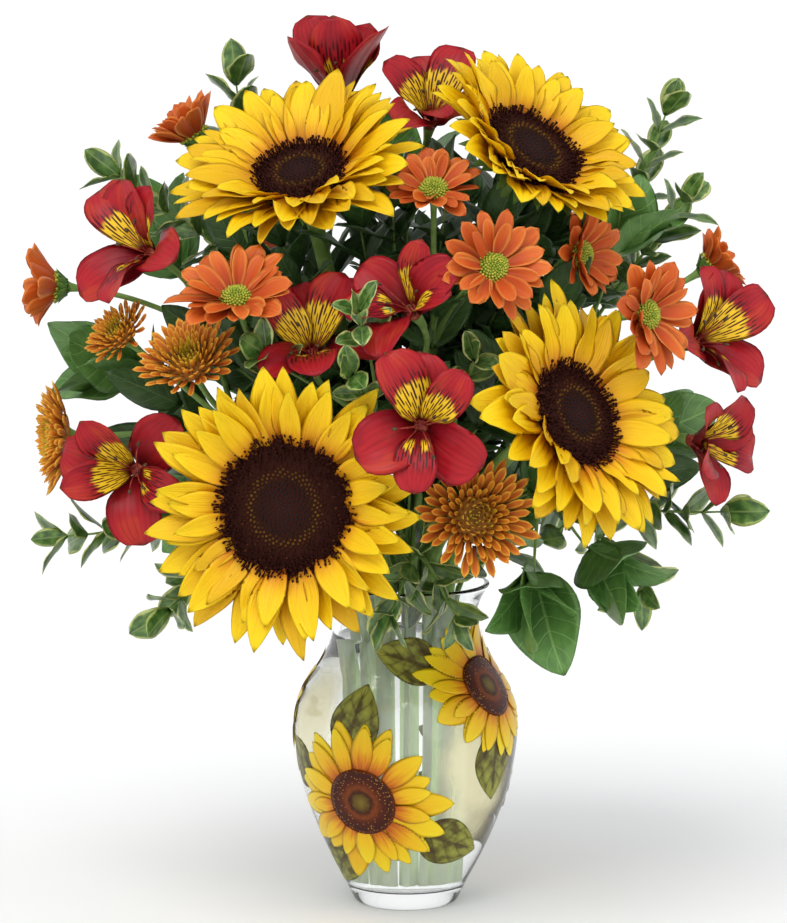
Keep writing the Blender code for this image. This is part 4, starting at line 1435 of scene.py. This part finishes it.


# the cream patches: partly a wash on the glass, partly painted refraction
def build_refraction_washes(name):
    cream = refraction_wash_finish()
    washes = []
    for azimuth, height, half_width, half_height in WASHES_AND_REFRACTIONS:
        patch = drawn_disc(1.0, 20, 72)
        patch.materials.append(cream)
        patch.transform(Matrix.Diagonal((half_width, half_height, 0.4, 1.0)))
        washes.append(on_vase(patch, azimuth, height, REFRACTION_WASH_LIFT))
    piece(name, joined_mesh("wash", washes), "clear_glass")


def painted_leaves():
    olive = painted_leaf_finish()
    stroke = Petal(36, 26, 0.42, 0.85, 0.1, 0, 0, 0, thick=PAINT_THICK)
    leaf = petal_mesh("painted_leaf", stroke, *LEAF_STEPS)
    flatten(leaf, *LEAF_STEPS)
    made = []
    for azimuth, height, turn, size in PAINTED_LEAVES:
        drawn = leaf.copy()
        drawn.materials.append(olive)
        drawn.transform(Matrix.Rotation(math.radians(turn), 4, "Z") @ Matrix.Scale(size, 4))
        made.append(on_vase(drawn, azimuth, height, LEAF_LIFT))
    return made


def painted_flower(flower, yellow, dark):
    """Two rows of painted petals, each petal a stroke over the last, and the disc on top."""
    stroke = Petal(27, 11.5, 0.5, 0.7, 0.42, 0, 0, 0, thick=PAINT_THICK)
    shapes = petals_like("painted_petal", stroke, 6, *STROKE_STEPS, flower.seed)
    for shape in shapes.objects:
        flatten(shape.data, *STROKE_STEPS)
    lift = FLOWER_LIFT
    made = []
    for row, (count, size) in enumerate(((17, 1.0), (14, 0.86))):
        drawn = florets(
            "drawn", shapes, yellow, count=count, seed=flower.seed * 5 + row,
            first_angle=flower.turn + row * 0.2, angle_step=math.tau / count,
            outer_height=PAINT_STEP * count, inner_radius=FLOWER_START * flower.size,
            outer_radius=FLOWER_START * flower.size, inner_size=size * flower.size,
            outer_size=size * flower.size, turn_spread=0.08, size_spread=0.14,
        )
        made.append(on_vase(drawn, flower.azimuth, flower.height, lift))
        lift += PAINT_STEP * (count + 1)
    disc = drawn_disc(16.5 * flower.size, 8, 48)
    disc.materials.append(dark)
    made.append(on_vase(disc, flower.azimuth, flower.height, lift))
    return made


def build_paint(name):
    build_refraction_washes(name + "_wash")
    yellow, dark = painted_petal_finish(), painted_disc_finish()
    made = painted_leaves()
    for flower in PAINTED:
        made += painted_flower(flower, yellow, dark)
    piece(name, joined_mesh(name, made), "clear_glass")


def flatten(mesh, along, across):
    """Takes the bends out of a petal: its upper side, its rim and its under side are all level."""
    half = PAINT_THICK / 2 * MM
    upper = (along + 1) * (across + 1)
    for number, vertex in enumerate(mesh.vertices):
        row, column = divmod(number, across + 1)
        rim = row in (0, along) or column in (0, across)
        if number >= upper:
            vertex.co.z = -half
        else:
            vertex.co.z = 0.0 if rim else half


def drawn_disc(radius, rings, steps):
    """A flat round disc whose UV runs from its middle to its rim."""
    half = PAINT_THICK / 2
    up = [(radius * i / rings, half) for i in range(rings + 1)]
    down = [(radius * i / rings, -half) for i in range(rings - 1, -1, -1)]
    mesh = lathe("drawn_disc", [*up, *down][::-1], steps)
    layer = mesh.uv_layers.new(name="petal")
    for loop in mesh.loops:
        place = mesh.vertices[loop.vertex_index].co
        layer.data[loop.index].uv = (math.hypot(place.x, place.y) / (radius * MM), 0.5)
    return mesh


# ---------------------------------------------------------------- floor, light and camera


def far_light(name, place, power, softness, colour):
    """A wide soft light from far away, so that the whole floor is lit alike."""
    lamp = bpy.data.lights.new(name, "SUN")
    lamp.energy, lamp.angle, lamp.color = power, math.radians(softness), colour
    obj = bpy.data.objects.new(name, lamp)
    obj.location = place
    obj.rotation_euler = (-Vector(place)).to_track_quat("-Z", "Y").to_euler()
    bpy.context.scene.collection.objects.link(obj)


FLOOR_REACH = 90.0  # from the middle of the floor to its edges, in metres as the camera's places are
CAMERA_PLACE, CAMERA_AIM = Vector((-0.006, -1.7, 0.43)), Vector((-0.006, 0, 0.2105))


def build_floor():
    bm = bmesh.new()
    bmesh.ops.create_grid(bm, x_segments=1, y_segments=1, size=FLOOR_REACH)
    mesh = bpy.data.meshes.new("floor")
    bm.to_mesh(mesh)
    bm.free()
    surface, g, shader = finish("pale floor", Roughness=0.75)
    grain = g.noise(object_place(g), 3.0, 2.0)
    feed(g, shader, Base_Color=g.mix(grain, (0.90, 0.90, 0.895), (0.93, 0.93, 0.925)))
    mesh.materials.append(surface)
    floor = bpy.data.objects.new("floor", mesh)
    bpy.context.scene.collection.objects.link(floor)


def build_room(look):
    """A room that is white at eye level and greyer above, with two soft lights from the front."""
    world = bpy.data.worlds.new("studio")
    world.use_nodes = True
    world.node_tree.nodes.clear()
    g = Graph(world.node_tree)
    height = height_of(g, g.node("ShaderNodeTexCoord").outputs["Generated"])
    shade = g.ramp(height.size(), [
        (0.0, (1.0, 1.0, 1.0)), (0.2, (0.95, 0.95, 0.96)), (0.6, (0.62, 0.63, 0.65)),
    ])
    backdrop = g.node("ShaderNodeBackground", {}, {"Color": shade, "Strength": look.room_light})
    g.node("ShaderNodeOutputWorld", {}, {"Surface": backdrop.outputs[0]})
    bpy.context.scene.world = world
    far_light("key", (-1.5, -3.0, 4.6), look.key_light, 40, (1.0, 0.985, 0.96))
    far_light("fill", (3.2, -3.0, 2.6), look.key_light * 0.4, 70, (0.97, 0.985, 1.0))


def place_camera(look):
    lens = bpy.data.cameras.new("camera")
    lens.sensor_width = 36
    lens.lens = look.lens
    lens.clip_start, lens.clip_end = 0.05, 50
    camera = bpy.data.objects.new("camera", lens)
    camera.location = CAMERA_PLACE
    camera.rotation_euler = (CAMERA_AIM - CAMERA_PLACE).to_track_quat("-Z", "Y").to_euler()
    bpy.context.scene.collection.objects.link(camera)
    bpy.context.scene.camera = camera


# ---------------------------------------------------------------- settings and operators


class FlowerSizes(bpy.types.PropertyGroup):
    """Sizes and counts of the arrangement"""

    sunflower_petals: IntProperty(
        name="Sunflower petals", description="Petals in the outer row of a sunflower",
        default=24, min=8, max=40,
    )
    sunflower_petal_length: FloatProperty(
        name="Sunflower petal length", description="Length of the petals against the head's own size",
        default=1.06, min=0.8, max=1.2, subtype="FACTOR",
    )
    disc_florets: IntProperty(
        name="Disc florets", description="Florets for a sunflower disc of 30 mm radius",
        default=900, min=100, max=1500,
    )
    daisy_petals: IntProperty(
        name="Daisy petals", description="Petals in the lower of a daisy's two rows",
        default=14, min=6, max=24,
    )
    mum_petals: IntProperty(name="Mum petals", description="Petals in a mum", default=135, min=30, max=200)
    filler_twigs: IntProperty(
        name="Filler twigs", description="Leafy twigs between the flowers", default=42, min=0, max=60
    )
    lens: FloatProperty(
        name="Lens", description="Focal length of the camera in millimetres", default=142, min=20, max=400
    )
    room_light: FloatProperty(
        name="Room light", description="Strength of the pale surroundings", default=1.05, min=0.0, max=3.0
    )
    key_light: FloatProperty(
        name="Key light", description="Strength of the soft light from the front left",
        default=1.5, min=0.0, max=9.0,
    )


class FlowerColours(bpy.types.PropertyGroup):
    """Main colours of the flowers"""

    sunflower: FloatVectorProperty(
        name="Sunflower", description="Colour of the sunflowers' petals", subtype="COLOR", size=3,
        default=(0.90, 0.60, 0.004), min=0.0, max=1.0,
    )
    daisy: FloatVectorProperty(
        name="Daisy", description="Colour of the daisies' petals", subtype="COLOR", size=3,
        default=(0.64, 0.132, 0.018), min=0.0, max=1.0,
    )
    mum: FloatVectorProperty(
        name="Mum", description="Colour of the mums' petals", subtype="COLOR", size=3,
        default=(0.60, 0.170, 0.018), min=0.0, max=1.0,
    )
    alstroemeria: FloatVectorProperty(
        name="Alstroemeria", description="Colour of the alstroemerias' tepals", subtype="COLOR", size=3,
        default=(0.33, 0.005, 0.012), min=0.0, max=1.0,
    )


class FLOWERS_OT_finishes(bpy.types.Operator):
    """Make the finishes and the node trees that the other steps use"""

    bl_idname = "flowers.finishes"
    bl_label = "Finishes"

    def execute(self, context):
        trees["florets"], trees["twig"] = floret_tree(), twig_tree()
        make_finishes(context.scene.flower_colours)
        return {"FINISHED"}


class FLOWERS_OT_vase(bpy.types.Operator):
    """Turn the glass vase and its water, and paint the sunflowers on it"""

    bl_idname = "flowers.vase"
    bl_label = "Vase and water"

    def execute(self, context):
        build_vase("vase_glass")
        build_water("vase_water")
        build_paint("vase_paint")
        return {"FINISHED"}


class FLOWERS_OT_sunflowers(bpy.types.Operator):
    """Grow the sunflowers: petals, disc, bracts and stem"""

    bl_idname = "flowers.sunflowers"
    bl_label = "Sunflowers"

    def execute(self, context):
        for number in SUNFLOWERS:
            build_sunflower(number)
        return {"FINISHED"}


class FLOWERS_OT_daisies(bpy.types.Operator):
    """Grow the orange daisies"""

    bl_idname = "flowers.daisies"
    bl_label = "Daisies"

    def execute(self, context):
        for number in numbers_of("daisy"):
            build_daisy(number)
        return {"FINISHED"}


class FLOWERS_OT_mums(bpy.types.Operator):
    """Grow the bronze mums"""

    bl_idname = "flowers.mums"
    bl_label = "Mums"

    def execute(self, context):
        for number in numbers_of("mum"):
            build_mum(number)
        return {"FINISHED"}


class FLOWERS_OT_alstroemerias(bpy.types.Operator):
    """Grow the red alstroemerias"""

    bl_idname = "flowers.alstroemerias"
    bl_label = "Alstroemerias"

    def execute(self, context):
        for number in numbers_of("alstroemeria"):
            build_alstroemeria(number)
        return {"FINISHED"}


class FLOWERS_OT_stems(bpy.types.Operator):
    """Round the cut stems of the small flowers"""

    bl_idname = "flowers.stems"
    bl_label = "Stems"

    def execute(self, context):
        build_stems()
        return {"FINISHED"}


class FLOWERS_OT_foliage(bpy.types.Operator):
    """Grow the edged sprigs, the broad leaves and the dark leaves between the flowers"""

    bl_idname = "flowers.foliage"
    bl_label = "Foliage"

    def execute(self, context):
        for seed, name in enumerate(PLANTS, start=1):
            build_plant(name, seed * 50)
        build_middle_leaves()
        build_filler()
        return {"FINISHED"}


class FLOWERS_OT_stage(bpy.types.Operator):
    """Lay the floor, light the room and place the camera"""

    bl_idname = "flowers.stage"
    bl_label = "Stage"

    def execute(self, context):
        look = context.scene.flower_sizes
        build_floor()
        build_room(look)
        place_camera(look)
        context.scene.view_settings.view_transform = "Standard"  # the flowers' own full colours
        return {"FINISHED"}


OPERATORS = (
    FLOWERS_OT_stage, FLOWERS_OT_finishes, FLOWERS_OT_vase, FLOWERS_OT_stems, FLOWERS_OT_sunflowers,
    FLOWERS_OT_daisies, FLOWERS_OT_mums, FLOWERS_OT_alstroemerias, FLOWERS_OT_foliage,
)


class FLOWERS_PT_panel(bpy.types.Panel):
    """Sizes, colours and steps of the arrangement"""

    bl_label = "Flower arrangement"
    bl_idname = "FLOWERS_PT_panel"
    bl_space_type = "VIEW_3D"
    bl_region_type = "UI"
    bl_category = "Flowers"

    def draw(self, context):
        for group in (context.scene.flower_sizes, context.scene.flower_colours):
            box = self.layout.box()
            for name in group.__annotations__:
                box.prop(group, name)
        for operator in OPERATORS:
            self.layout.operator(operator.bl_idname)


CLASSES = (FlowerSizes, FlowerColours, *OPERATORS, FLOWERS_PT_panel)


def register():
    for cls in CLASSES:
        bpy.utils.register_class(cls)
    bpy.types.Scene.flower_sizes = PointerProperty(type=FlowerSizes)
    bpy.types.Scene.flower_colours = PointerProperty(type=FlowerColours)


def unregister():
    del bpy.types.Scene.flower_colours
    del bpy.types.Scene.flower_sizes
    for cls in reversed(CLASSES):
        bpy.utils.unregister_class(cls)


def main():
    register()
    for operator in OPERATORS:
        group, name = operator.bl_idname.split(".")
        getattr(getattr(bpy.ops, group), name)()


if __name__ == "__main__":
    main()
